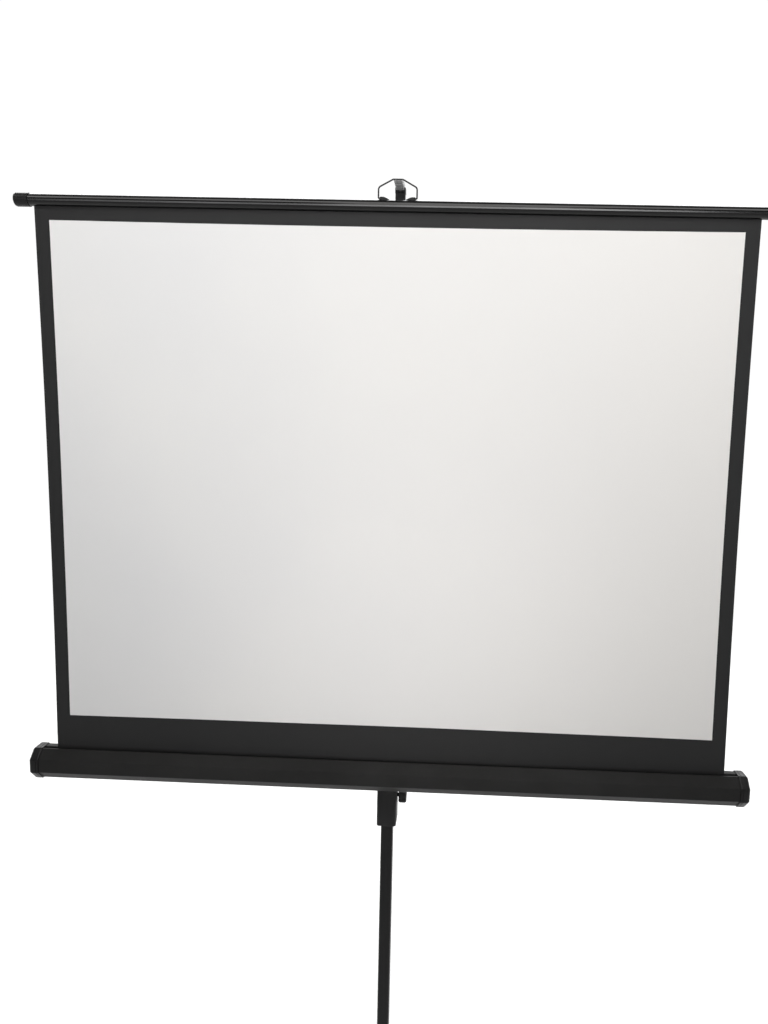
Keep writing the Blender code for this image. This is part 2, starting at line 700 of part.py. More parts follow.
def make_case(paint, plastic, dark_steel, body):
    """The octagonal shell with its slot, and an end cap with a spigot at each end."""
    path = case_path()
    outline = offset(path, CASE_WALL / 2) + list(reversed(offset(path, -CASE_WALL / 2)))
    length = CASE_LENGTH - 2 * CAP_LENGTH - 2 * FIT_GAP
    shell = node("case_shell", along_x(prism(outline, length, -length / 2), CASE_Y, CASE_Z, 0), paint, body)
    for x in (-SADDLE_RIVET_SPACING / 2, SADDLE_RIVET_SPACING / 2):
        hole = rod(RIVET_SHAFT / 2, CASE_HALF, CASE_HALF / 2, 12)
        cut(shell, placed(hole, frame((x, CASE_Y, CASE_Z), BACK, RIGHT)), "rivet_hole")
    inner_flats = CASE_FLATS - 2 * CASE_WALL - 2 * RUN_GAP
    roller_drop = ROLLER_Y - CASE_Y
    for name, side in (("case_cap_left", -1), ("case_cap_right", 1)):
        cap_outline = fillet(octagon(CAP_FLATS), CASE_BEND, closed=True)
        end = CASE_LENGTH / 2
        rings = []
        for depth, inset in ((CAP_LENGTH, FIT_GAP), (CAP_LENGTH - RUN_GAP, 0), (CAP_ROUND, 0),
                             (CAP_ROUND * ROUND_SHOULDER_SHARE, CAP_ROUND * ROUND_SHOULDER_SHARE), (0, CAP_ROUND)):
            size_share = 1 - inset / (CAP_FLATS / 2)
            rings.append([(y * size_share, z * size_share, end - depth) for y, z in cap_outline])
        place = case_end(side)
        cap = node(name, placed(loft(rings), place), plastic, body)
        spigot_outline = fillet(octagon(inner_flats), CASE_BEND, closed=True)
        inner_end = end - CAP_LENGTH - CAP_SPIGOT
        spigot = prism(spigot_outline, CAP_SPIGOT + CAP_LENGTH / 2, inner_end)
        join(cap, placed(spigot, place), "cap_spigot")
        notch_half = SLOT_WIDTH / 2 + 2 * CASE_WALL
        notch = prism(
            [(-notch_half, 0), (notch_half, 0), (notch_half, CASE_FLATS), (-notch_half, CASE_FLATS)],
            CAP_SPIGOT + OVERRUN + FIT_GAP,
            inner_end - OVERRUN,
        )
        notch_place = place @ Matrix.Translation((-SLOT_FORWARD, 0, 0))
        hollow = rod(ROLL_RADIUS + CAP_SPIGOT_WALL, CAP_SPIGOT + OVERRUN, inner_end - OVERRUN, 28)
        cut(cap, placed(notch, notch_place), "slot_notch")
        roller_place = place @ Matrix.Translation((roller_drop, 0, 0))
        cut(cap, placed(hollow, roller_place), "roller_hollow")
        pin = SHAFT_DIAMETER if side < 0 else PIN_DIAMETER
        socket = rod(pin / 2 + RUN_GAP, CAP_LENGTH, end - CAP_LENGTH - CAP_FACE, 20)
        cut(cap, placed(socket, roller_place), "pin_socket")
        for up in (-1, 1):
            screw_hole = rod(CAP_SCREW_SHAFT / 2 + FIT_GAP, CAP_SCREW_LENGTH + OVERRUN, end - CAP_SCREW_LENGTH, 12)
            spot = place @ Matrix.Translation((0, up * CAP_SCREW_SPACING / 2, 0))
            cut(cap, placed(screw_hole, spot), "screw_hole")
    for number, (side, up) in enumerate(((-1, -1), (-1, 1), (1, -1), (1, 1)), 1):
        start = CASE_LENGTH / 2 - CAP_SCREW_LENGTH + FIT_GAP
        screw = rivet(CAP_SCREW_SHAFT, CAP_SCREW_HEAD, CAP_SCREW_RISE, CAP_SCREW_LENGTH)
        spot = case_end(side) @ Matrix.Translation((0, up * CAP_SCREW_SPACING / 2, start))
        node(f"case_cap_screw_{number}", placed(screw, spot), dark_steel, body)


def make_roller(plastic, steel, cloth, case, roller):
    """The roller in the case: its tube turns on a fixed spring shaft at the left and on a pin at the right."""
    inner_cap = CASE_LENGTH / 2 - CAP_LENGTH
    half = inner_cap - ROLLER_END_GAP
    outer = ROLLER_DIAMETER / 2
    bore = outer - ROLLER_WALL
    axis = frame((0, ROLLER_Y, CASE_Z), RIGHT, UP)
    node("roller_tube", placed(pipe(circle(outer, 28), circle(bore, 28), 2 * half, -half), axis), steel, roller)
    wound = pipe(circle(ROLL_RADIUS, 28), circle(outer + FIT_GAP, 28), FABRIC_WIDTH, -FABRIC_WIDTH / 2)
    node("fabric_roll", placed(wound, axis), cloth, roller)
    plug = bore - FIT_GAP
    flange = outer
    shaft_bore = SHAFT_DIAMETER / 2 + RUN_GAP
    left = [
        (shaft_bore, half - PLUG_LENGTH),
        (plug, half - PLUG_LENGTH),
        (plug, half + FIT_GAP),
        (flange, half + FIT_GAP),
        (flange, half + FIT_GAP + PLUG_FLANGE),
        (shaft_bore, half + FIT_GAP + PLUG_FLANGE),
    ]
    node("roller_plug_left", placed(turned(left, 24), frame((0, ROLLER_Y, CASE_Z), -RIGHT, UP)), plastic, roller)
    right = [(max(r, PIN_DIAMETER / 2 + FIT_GAP) if r == shaft_bore else r, x) for r, x in left]
    node("roller_plug_right", placed(turned(right, 24), axis), plastic, roller)
    pin_end = inner_cap + CAP_LENGTH - CAP_FACE - 2 * RUN_GAP
    node("roller_pin", placed(rod(PIN_DIAMETER / 2, PIN_LENGTH, pin_end - PIN_LENGTH, 20), axis), steel, roller)
    shaft_end = inner_cap + CAP_LENGTH - CAP_FACE - 2 * RUN_GAP
    shaft = rod(SHAFT_DIAMETER / 2, SHAFT_LENGTH, -shaft_end, 20)
    node("spring_shaft", placed(shaft, axis), steel, case)
    coil, gap = helix(SPRING_DIAMETER / 2, SPRING_WIRE, SPRING_CURLS, SPRING_LENGTH)
    print(f"roller spring: least gap between curls {gap * 1000:.2f} mm")
    start = -half + PLUG_LENGTH + RUN_GAP
    node("roller_spring", placed(coil, frame((start, ROLLER_Y, CASE_Z), RIGHT, UP)), steel, case)


def make_column(paint, plastic):
    """The square column, its foot plug and the collar that guides the pole."""
    outer = rounded(COLUMN_SIZE, COLUMN_SIZE, COLUMN_CORNER)
    bore = COLUMN_SIZE - 2 * COLUMN_WALL
    inner = rounded(bore, bore, COLUMN_CORNER - COLUMN_WALL)
    at_column = Matrix.Translation((0, COLUMN_Y, 0))
    tube = pipe(outer, inner, COLUMN_TOP_Z - COLUMN_BOTTOM_Z, COLUMN_BOTTOM_Z)
    column = node("column_tube", placed(tube, at_column), paint)
    hub_hole = rod(HUB_SCREW / 2 + FIT_GAP, COLUMN_SIZE, 0, 12)
    hub_screw_z = HUB_Z + HUB_HEIGHT / 2 - HUB_SCREW_HEAD
    cut(column, placed(hub_hole, frame((0, COLUMN_Y, hub_screw_z), BACK, RIGHT)), "hub_screw_hole")
    fit = bore - 2 * FIT_GAP
    lip = COLUMN_SIZE + 2 * FOOT_PLUG_PROUD
    plug = prism(rounded(lip, lip, COLUMN_CORNER), FOOT_PLUG_LIP, COLUMN_BOTTOM_Z - FIT_GAP - FOOT_PLUG_LIP)
    foot = soften(node("column_foot_plug", placed(plug, at_column), plastic), FOOT_PLUG_PROUD)
    spigot_outline = rounded(fit, fit, COLUMN_CORNER - COLUMN_WALL)
    spigot = prism(spigot_outline, FOOT_PLUG_DEPTH + FIT_GAP + OVERRUN, COLUMN_BOTTOM_Z - FIT_GAP - OVERRUN)
    join(foot, placed(spigot, at_column), "plug_spigot")
    bottom = COLLAR_TOP_Z - COLLAR_HEIGHT
    collar_mesh = prism(rounded(COLLAR_SIZE, COLLAR_SIZE, COLLAR_CORNER), COLLAR_HEIGHT, bottom)
    collar = soften(node("column_collar", placed(collar_mesh, at_column), plastic), RUN_GAP * 2)
    half_boss = LATCH_BOSS_DEPTH + COLLAR_SIZE / 2
    boss = prism(rounded(LATCH_BOSS_WIDTH, LATCH_BOSS_HEIGHT, COLUMN_CORNER), half_boss, 0)
    at_latch = frame((0, COLUMN_Y, LATCH_Z), BACK, RIGHT)
    join(collar, placed(boss, at_latch), "latch_boss")
    wide = COLUMN_SIZE + 2 * FIT_GAP
    seat = prism(rounded(wide, wide, COLUMN_CORNER + FIT_GAP), COLUMN_TOP_Z + FIT_GAP - bottom + OVERRUN, bottom - OVERRUN)
    cut(collar, placed(seat, at_column), "column_bore")
    narrow = POLE_SIZE + 2 * RUN_GAP
    guide = prism(rounded(narrow, narrow, POLE_CORNER + RUN_GAP), COLLAR_HEIGHT, bottom + OVERRUN)
    cut(collar, placed(guide, at_column), "pole_bore")
    floor = COLUMN_SIZE / 2 + FIT_GAP + LATCH_FLOOR
    pocket_size = (LATCH_WIDTH + 2 * RUN_GAP, LATCH_HEIGHT + 2 * RUN_GAP)
    pocket = prism(rounded(*pocket_size, POLE_CORNER), half_boss - floor + OVERRUN, floor)
    cut(collar, placed(pocket, at_latch), "latch_pocket")
    return floor, half_boss


def make_latch(plastic, steel, floor, mouth, body):
    """The spring button at the back of the collar."""
    at_latch = frame((0, COLUMN_Y, LATCH_Z), BACK, RIGHT)
    back = floor + LATCH_TRAVEL + RUN_GAP
    outline = rounded(LATCH_WIDTH, LATCH_HEIGHT, POLE_CORNER - RUN_GAP)
    button = prism(outline, mouth + LATCH_PROUD - back, back)
    item = soften(node("latch_button", placed(button, at_latch), plastic, body), LATCH_TRAVEL / 4)
    well = rod(LATCH_SPRING_DIAMETER / 2 + RUN_GAP, LATCH_PROUD + LATCH_TRAVEL + OVERRUN, back - OVERRUN, 16)
    cut(item, placed(well, at_latch), "spring_well")
    radius = (LATCH_SPRING_DIAMETER - LATCH_SPRING_WIRE) / 2
    length = LATCH_TRAVEL + LATCH_PROUD + LATCH_TRAVEL
    coil, _ = helix(radius, LATCH_SPRING_WIRE, LATCH_SPRING_CURLS, length, 10)
    node("latch_spring", placed(coil, at_latch @ Matrix.Translation((0, 0, floor + FIT_GAP))), steel)


def make_pole(paint, plastic, steel, body):
    """The pole in the column, with the stepped arm on top that holds the bail."""
    outer = rounded(POLE_SIZE, POLE_SIZE, POLE_CORNER)
    bore = POLE_SIZE - 2 * POLE_WALL
    inner = rounded(bore, bore, POLE_CORNER - POLE_WALL)
    top = SLAT_Z + POLE_TOP_RISE
    at_column = Matrix.Translation((0, COLUMN_Y, 0))
    node("pole_tube", placed(pipe(outer, inner, top - POLE_BOTTOM_Z, POLE_BOTTOM_Z), at_column), paint, body)
    wide = COLUMN_SIZE - 2 * COLUMN_WALL - 2 * FIT_GAP
    slim = POLE_SIZE + 2 * FIT_GAP
    bush = pipe(
        rounded(wide, wide, COLUMN_CORNER - COLUMN_WALL),
        rounded(slim, slim, POLE_CORNER),
        BUSH_LENGTH,
        POLE_BOTTOM_Z,
    )
    node("pole_bush", placed(bush, at_column), plastic, body)
    cap_outline = rounded(PLUG_CAP_WIDTH, PLUG_CAP_WIDTH, POLE_CORNER)
    plug = node("pole_plug", placed(prism(cap_outline, PLUG_CAP_HEIGHT, top + FIT_GAP), at_column), plastic, body)
    fit = bore - 2 * FIT_GAP
    spigot = prism(rounded(fit, fit, POLE_CORNER - POLE_WALL), PLUG_SPIGOT + OVERRUN, top + FIT_GAP - PLUG_SPIGOT)
    join(plug, placed(spigot, at_column), "plug_spigot")
    screw_z = top + FIT_GAP + PLUG_CAP_HEIGHT / 2
    front = PLUG_CAP_WIDTH / 2
    hole = rod(HOOK_SCREW_SHAFT / 2 + FIT_GAP, HOOK_SCREW_LENGTH + OVERRUN, front - HOOK_SCREW_LENGTH, 12)
    facing = frame((0, COLUMN_Y, screw_z), -BACK, RIGHT)
    cut(plug, placed(hole, facing), "screw_hole")
    screw = rivet(HOOK_SCREW_SHAFT, HOOK_SCREW_HEAD, HOOK_SCREW_RISE, HOOK_SCREW_LENGTH)
    start = front - HOOK_SCREW_LENGTH + FIT_GAP
    node("hook_screw", placed(screw, facing @ Matrix.Translation((0, 0, start))), steel, body)


def arm_outline():
    """The hook arm from the side, as (distance behind the sheet, height above the slat's axis)."""
    wire = WIRE_BACK
    rear = SHEET_SETBACK + PLUG_CAP_WIDTH / 2
    riser = wire + BAIL_WIRE / 2 + ARM_SEAT_BEHIND
    nose = wire - ARM_SEAT_AHEAD
    top = [(nose, SEAT_RISE)]
    for k in range(ARM_STEPS):
        y = riser + k * ARM_STEP_RUN
        z = SEAT_RISE + k * ARM_STEP_RISE
        top += [(y, z), (y + ARM_STEP_RISE * ARM_STEP_LEAN_SHARE, z + ARM_STEP_RISE)]
    tail = ARM_TAIL * ARM_TAIL_ROUND_SHARE
    top += [(rear - tail, ARM_TOP_RISE), (rear, ARM_TOP_RISE - tail)]
    step_up = ARM_UNDER_RISE - (SEAT_RISE - ARM_FRONT_DEPTH)
    shoulder = SHEET_SETBACK - PLUG_CAP_WIDTH / 2 - ARM_TAIL / 2
    under = [
        (rear, ARM_UNDER_RISE),
        (shoulder, ARM_UNDER_RISE),
        (nose + ARM_FRONT_DEPTH, ARM_UNDER_RISE - step_up),
        (nose + ARM_FRONT_DEPTH / 3, SEAT_RISE - ARM_FRONT_DEPTH * ARM_CHIN_SHARE),
        (nose, SEAT_RISE - ARM_FRONT_DEPTH * ARM_NOSE_SHARE),
    ]
    return top + under, shoulder, step_up


def make_arm(grey, body):
    outline, shoulder, step_up = arm_outline()
    points = list(reversed(outline))
    arm = node("hook_arm", along_x(prism(points, ARM_WIDTH, -ARM_WIDTH / 2), SHEET_Y, SLAT_Z, 0), grey, body)
    front_y = WIRE_BACK - ARM_SEAT_AHEAD + ARM_FRONT_DEPTH
    run = shoulder - front_y
    slope = step_up / run
    count = int(run / ARM_RIB_PITCH)
    grooves = []
    for k in range(count):
        y = front_y + run * (k + 0.5) / count
        z = SLAT_Z + SEAT_RISE - ARM_FRONT_DEPTH + slope * (y - front_y)
        size = (ARM_WIDTH - 2 * ARM_RIM, ARM_RIB_GAP)
        block = prism(rounded(*size, ARM_RIM / 4, 1), ARM_RIB_DEPTH * 3, -ARM_RIB_DEPTH * 2)
        tilt = Matrix.Rotation(atan2(slope, 1), 4, "X")
        grooves.append(placed(block, Matrix.Translation((0, SHEET_Y + y, z)) @ tilt))
    cut(arm, merged(grooves), "underside_grooves")


def make_carrier(plastic, body):
    """The sleeve on the column, with a neck that rises past the collar to the case's pivot."""
    top = CASE_Z - CARRIER_TOP_DROP
    bottom = top - CARRIER_HEIGHT
    rear = COLUMN_SIZE / 2 + CARRIER_BACK
    depth = rear + NECK_FRONT
    sleeve = prism(rounded(CARRIER_WIDTH, depth, CARRIER_CORNER), CARRIER_HEIGHT, bottom)
    middle = COLUMN_Y + (rear - NECK_FRONT) / 2
    carrier = node("case_carrier", placed(sleeve, Matrix.Translation((0, middle, 0))), plastic, body)
    soften(carrier, CARRIER_CORNER / 3)
    arc = [(NECK_RADIUS * cos(a), NECK_RADIUS * sin(a)) for a in [pi * i / 14 for i in range(15)]]
    foot = -(CARRIER_TOP_DROP + NECK_OVERLAP)
    half = CARRIER_WIDTH / 2 - CARRIER_CORNER
    neck_outline = arc + [(-half, -CARRIER_TOP_DROP), (-half, foot), (half, foot), (half, -CARRIER_TOP_DROP)]
    flip = frame((0, COLUMN_Y - NECK_BACK, CASE_Z), -BACK, RIGHT)
    mirrored = [(x, -z) for x, z in neck_outline]
    join(carrier, placed(prism(mirrored, NECK_THICKNESS), flip), "neck")
    wide = COLUMN_SIZE + 2 * RUN_GAP
    bore = prism(rounded(wide, wide, COLUMN_CORNER + RUN_GAP), CARRIER_HEIGHT + 2 * OVERRUN, bottom - OVERRUN)
    cut(carrier, placed(bore, Matrix.Translation((0, COLUMN_Y, 0))), "column_bore")
    bolt_hole = rod(PIVOT_BOLT_SHAFT / 2 + FIT_GAP, NECK_THICKNESS + 2 * OVERRUN, -OVERRUN)
    cut(carrier, placed(bolt_hole, flip), "bolt_hole")
    recess = rod(PIVOT_BOLT_HEAD / 2 + FIT_GAP, PIVOT_HEAD_DEPTH + FIT_GAP + OVERRUN, -OVERRUN, 20)
    cut(carrier, placed(recess, flip), "bolt_recess")
    stud_hole = rod(KNOB_STUD / 2 + FIT_GAP, CARRIER_WIDTH)
    cut(carrier, placed(stud_hole, frame((0, COLUMN_Y, CLAMP_KNOB_Z), RIGHT, UP)), "stud_hole")
    for up in (-1, 1):
        z = top - CARRIER_HEIGHT / 2 + up * (HANDLE_HEIGHT - HANDLE_FOOT) / 2
        hole = rod(HANDLE_SCREW / 2 + FIT_GAP, CARRIER_BACK, rear - HANDLE_SCREW_DEPTH)
        cut(carrier, placed(hole, frame((0, COLUMN_Y, z), BACK, RIGHT)), "handle_screw_hole")
    return rear, top - CARRIER_HEIGHT / 2


def make_handle(plastic, steel, rear, middle_z, body):
    """A bow handle on the back of the carrier, and its two screws."""
    half, reach = HANDLE_HEIGHT / 2, HANDLE_REACH
    bend, slope = reach * HANDLE_SHOULDER_SHARE, half * HANDLE_SLOPE_SHARE
    outer = [(0, half), (bend, half), (reach, slope), (reach, -slope), (bend, -half), (0, -half)]
    low = half - HANDLE_FOOT
    grip = reach - HANDLE_GRIP
    bend, slope = grip * HANDLE_INNER_SHOULDER_SHARE, low * HANDLE_INNER_SLOPE_SHARE
    inner = [(0, -low), (bend, -low), (grip, -slope), (grip, slope), (bend, low), (0, low)]
    outline = fillet(outer, HANDLE_ROUND) + fillet(inner, HANDLE_ROUND / 2)
    mesh = prism(outline, HANDLE_WIDTH, -HANDLE_WIDTH / 2)
    base = COLUMN_Y + rear + FIT_GAP
    handle = node("carry_handle", along_x(mesh, base, middle_z, 0), plastic, body)
    soften(handle, HANDLE_ROUND * HANDLE_SOFT_SHARE)
    for number, up in enumerate((-1, 1), 1):
        z = middle_z + up * (HANDLE_HEIGHT - HANDLE_FOOT) / 2
        facing = frame((0, base, z), BACK, RIGHT)
        through = rod(HANDLE_SCREW / 2 + FIT_GAP, HANDLE_REACH * 2, -OVERRUN)
        cut(handle, placed(through, facing), "screw_way")
        seat = grip * HANDLE_SCREW_SEAT_SHARE
        counter = rod(HANDLE_SCREW_HEAD / 2 + RUN_GAP, HANDLE_REACH, seat, 18)
        cut(handle, placed(counter, facing), "screw_counterbore")
        length = seat + HANDLE_SCREW_DEPTH - RUN_GAP
        screw = rivet(HANDLE_SCREW, HANDLE_SCREW_HEAD, RIVET_RISE, length)
        spot = facing @ Matrix.Translation((0, 0, seat + FIT_GAP - length))
        node(f"handle_screw_{number}", placed(screw, spot), steel, body)


def make_saddle(steel, body):
    """The formed plate that wraps the back of the case, its rivets and the pivot bolt."""
    reach = CASE_FLATS / 2 + FIT_GAP + SADDLE_THICKNESS / 2
    side = reach * OCTAGON_SHARE
    wing = SADDLE_WING * sqrt(0.5)
    path = fillet([(reach - wing, side + wing), (reach, side), (reach, -side), (reach - wing, -side - wing)], CASE_BEND)
    outline = offset(path, SADDLE_THICKNESS / 2) + list(reversed(offset(path, -SADDLE_THICKNESS / 2)))
    mesh = prism(outline, SADDLE_LENGTH, -SADDLE_LENGTH / 2)
    saddle = node("case_saddle", along_x(mesh, CASE_Y, CASE_Z, 0), steel, body)
    back = COLUMN_Y - NECK_FRONT
    bolt_hole = rod(PIVOT_BOLT_SHAFT / 2 + FIT_GAP, 2 * CAP_SPIGOT, -CAP_SPIGOT)
    cut(saddle, placed(bolt_hole, frame((0, back, CASE_Z), -BACK, RIGHT)), "bolt_hole")
    for number, x in enumerate((-SADDLE_RIVET_SPACING / 2, SADDLE_RIVET_SPACING / 2), 1):
        hole = rod(RIVET_SHAFT / 2, 2 * CAP_SPIGOT, -CAP_SPIGOT, 12)
        cut(saddle, placed(hole, frame((x, back, CASE_Z), -BACK, RIGHT)), "rivet_hole")
        span = SADDLE_THICKNESS + 2 * FIT_GAP + CASE_WALL
        shaft = RIVET_SHAFT - 2 * FIT_GAP
        pin = rivet(shaft, RIVET_HEAD, RIVET_RISE, span)
        place = frame((x, back - FIT_GAP - span + FIT_GAP, CASE_Z), BACK, RIGHT)
        node(f"saddle_rivet_{number}", placed(pin, place), steel, body)
    head = PIVOT_BOLT_HEAD / 2
    tip = NECK_THICKNESS + FIT_GAP + SADDLE_THICKNESS
    profile = [(0, FIT_GAP), (head, FIT_GAP), (head, PIVOT_HEAD_DEPTH), (PIVOT_BOLT_SHAFT / 2, PIVOT_HEAD_DEPTH),
               (PIVOT_BOLT_SHAFT / 2, tip), (0, tip)]
    place = frame((0, COLUMN_Y - NECK_BACK, CASE_Z), -BACK, RIGHT)
    bolt = node("pivot_bolt", placed(turned(profile, 20), place), steel, body)
    hex_key = prism(circle(head / 2, 6), PIVOT_HEAD_DEPTH / 2, FIT_GAP - OVERRUN)
    cut(bolt, placed(hex_key, place), "hex_socket")


def make_knob(name, finish, body, centre, direction, surface, diameter, length):
    """A clamp knob whose stud runs through a wall to the column."""
    handle, stud = knob(diameter, length, KNOB_STUD, surface + KNOB_STANDOFF - COLUMN_SIZE / 2 - FIT_GAP)
    place = frame(centre, direction, UP) @ Matrix.Translation((0, 0, surface + KNOB_STANDOFF))
    item = node(name, placed(handle, place), finish, body)
    join(item, placed(stud, place), "stud")


def heading(turn):
    return Vector((cos(turn), sin(turn), 0))


def make_hub(plastic, steel):
    """The fixed hub: a sleeve with three forked ears, the rivets that the legs turn on, and its screw."""
    at_column = Matrix.Translation((0, COLUMN_Y, 0))
    sleeve = prism(rounded(HUB_SIZE, HUB_SIZE, HUB_CORNER), HUB_HEIGHT, HUB_Z - HUB_HEIGHT / 2)
    hub = soften(node("leg_hub", placed(sleeve, at_column), plastic), HUB_CORNER / 4)
    gap = TANG_THICKNESS + 2 * RUN_GAP
    for number, turn in enumerate(LEG_HEADINGS, 1):
        out = heading(turn)
        pin = Vector((0, COLUMN_Y, HUB_Z)) + out * LEG_PIVOT_RADIUS
        across = frame(pin, out.cross(UP), UP)
        for side in (-1, 1):
            outline = arc_outline(FORK_EAR_RADIUS, COLUMN_SIZE / 2 - OVERRUN - LEG_PIVOT_RADIUS)
            start = gap / 2 if side > 0 else -gap / 2 - EAR_THICKNESS
            ear = prism(outline, EAR_THICKNESS, start)
            join(hub, placed(ear, frame_side(pin, out)), "ear")
        span = gap + 2 * EAR_THICKNESS + 2 * FIT_GAP
        pivot_rivet = two_headed(PIVOT_RIVET, PIVOT_RIVET_HEAD, PIVOT_RIVET_RISE, span)
        node(f"hub_rivet_{number}", placed(pivot_rivet, across), steel)
        hole = rod(PIVOT_RIVET / 2 + FIT_GAP, span + 2 * OVERRUN, -span / 2 - OVERRUN)
        cut(hub, placed(hole, across), "rivet_hole")
    wide = COLUMN_SIZE + 2 * FIT_GAP
    bore = prism(rounded(wide, wide, COLUMN_CORNER + FIT_GAP), HUB_HEIGHT + 2 * OVERRUN, HUB_Z - HUB_HEIGHT / 2 - OVERRUN)
    cut(hub, placed(bore, at_column), "column_bore")
    screw_z = HUB_Z + HUB_HEIGHT / 2 - HUB_SCREW_HEAD
    facing = frame((0, COLUMN_Y, screw_z), BACK, RIGHT)
    hole = rod(HUB_SCREW / 2 + FIT_GAP, HUB_SIZE, 0, 14)
    cut(hub, placed(hole, facing), "screw_hole")
    start = COLUMN_SIZE / 2 - COLUMN_WALL
    screw = rivet(HUB_SCREW, HUB_SCREW_HEAD, RIVET_RISE, HUB_SIZE / 2 + FIT_GAP - start)
    node("hub_screw", placed(screw, facing @ Matrix.Translation((0, 0, start))), steel)


def arc_outline(radius, base):
    """A tab with a round end about the origin that reaches back to base, as (out, up)."""
    arc = [(radius * cos(a), radius * sin(a)) for a in [-pi / 2 + pi * i / 8 for i in range(9)]]
    return arc + [(base, radius), (base, -radius)]


def frame_side(origin, out):
    """A placing matrix whose X runs outward, Y up and Z across."""
    across = out.cross(UP)
    return Matrix.Translation(origin) @ Matrix((out, UP, across)).transposed().to_4x4()


def make_slider(plastic, slider, knob_body):
    """The collar that slides on the column below the hub, with a lug for each brace."""
    at_column = Matrix.Translation((0, COLUMN_Y, 0))
    bottom = SLIDER_Z - SLIDER_BELOW
    height = SLIDER_ABOVE + SLIDER_BELOW
    mesh = prism(rounded(SLIDER_SIZE, SLIDER_SIZE, SLIDER_CORNER), height, bottom)
    collar = soften(node("brace_slider", placed(mesh, at_column), plastic, slider), SLIDER_CORNER / 5)
    thickness = LEG_DIAMETER
    for turn in LEG_HEADINGS:
        out = heading(turn)
        pin = Vector((0, COLUMN_Y, SLIDER_Z)) + out * LEG_PIVOT_RADIUS
        outline = arc_outline(LUG_RADIUS, COLUMN_SIZE / 2 - OVERRUN - LEG_PIVOT_RADIUS)
        lug = prism(outline, thickness - 2 * RUN_GAP, -thickness / 2 + RUN_GAP)
        join(collar, placed(lug, frame_side(pin, out)), "lug")
        hole = rod(PIVOT_RIVET / 2 + FIT_GAP, thickness + 2 * OVERRUN, -thickness / 2 - OVERRUN)
        cut(collar, placed(hole, frame(pin, out.cross(UP), UP)), "pivot_hole")
    wide = COLUMN_SIZE + 2 * RUN_GAP
    bore = prism(rounded(wide, wide, COLUMN_CORNER + RUN_GAP), height + 2 * OVERRUN, bottom - OVERRUN)
    cut(collar, placed(bore, at_column), "column_bore")
    stud_hole = rod(KNOB_STUD / 2 + FIT_GAP, SLIDER_SIZE)
    centre = (0, COLUMN_Y, SLIDER_KNOB_Z)
    cut(collar, placed(stud_hole, frame(centre, BACK, RIGHT)), "stud_hole")
    surface = SLIDER_SIZE / 2
    make_knob("slider_knob", plastic, knob_body, centre, BACK, surface, SLIDER_KNOB_DIAMETER, SLIDER_KNOB_LENGTH)


def oval_ring(width, thickness, height, steps=16):
    """A ring that goes from a circle to a flat oval, across (x) and thick (y)."""
    points = []
    for i in range(steps):
        a = 2 * pi * i / steps
        roundness = OVAL_FLAT_SHARE + (1 - OVAL_FLAT_SHARE) * min(thickness / width, 1.0)
        x = width / 2 * copysign(abs(cos(a)) ** roundness, cos(a))
        y = thickness / 2 * copysign(abs(sin(a)) ** roundness, sin(a))
        points.append((x, y, height))
    return points


def make_leg(number, turn, paint, rubber, steel, leg, brace):
    """A round tube flattened where it turns in the hub, with a rubber foot, a pair of brace strips and a rivet."""
    out = heading(turn)
    across = out.cross(UP)
    pin = Vector((0, COLUMN_Y, HUB_Z)) + out * LEG_PIVOT_RADIUS
    along = out * sin(LEG_SPREAD) - UP * cos(LEG_SPREAD)
    place = frame(pin, along, along.cross(across))
    tip = LEG_LENGTH - FOOT_RADIUS + FOOT_WALL
    end_radius = TANG_WIDTH / 2
    rings = []
    for k in range(TANG_ROUND_STEPS + 1):
        a = (TANG_START_TURN - pi / 2) * (1 - k / TANG_ROUND_STEPS)
        rings.append(oval_ring(TANG_WIDTH * cos(a), TANG_THICKNESS, end_radius * sin(a)))
    rings.append(oval_ring(TANG_WIDTH, TANG_THICKNESS, TANG_LENGTH))
    for k in range(1, TANG_TAPER_STEPS + 1):
        share = k / TANG_TAPER_STEPS
        ease = share * share * (3 - 2 * share)
        width = TANG_WIDTH + (LEG_DIAMETER - TANG_WIDTH) * ease
        thickness = TANG_THICKNESS + (LEG_DIAMETER - TANG_THICKNESS) * ease
        rings.append(oval_ring(width, thickness, TANG_LENGTH + TANG_TAPER * share))
    rings.append(oval_ring(LEG_DIAMETER, LEG_DIAMETER, tip))
    bore = LEG_DIAMETER - 2 * LEG_WALL
    rings.append(oval_ring(bore, bore, tip))
    rings.append(oval_ring(bore, bore, TANG_LENGTH + TANG_TAPER + LEG_WALL))
    item = node(f"leg_tube_{number}", placed(loft(rings), place), paint, leg)
    pivot_hole = rod(PIVOT_RIVET / 2 + FIT_GAP, LEG_DIAMETER + 2 * OVERRUN, -LEG_DIAMETER / 2 - OVERRUN)
    cut(item, placed(pivot_hole, frame(pin, across, UP)), "hub_pivot_hole")
    elbow = pin + along * BRACE_LENGTH
    brace_hole = rod(PIVOT_RIVET / 2 + FIT_GAP, LEG_DIAMETER + 2 * OVERRUN, -LEG_DIAMETER / 2 - OVERRUN)
    cut(item, placed(brace_hole, frame(elbow, across, UP)), "brace_hole")
    make_foot(number, place, tip, rubber, leg)
    make_brace(number, elbow, out, across, steel, brace)


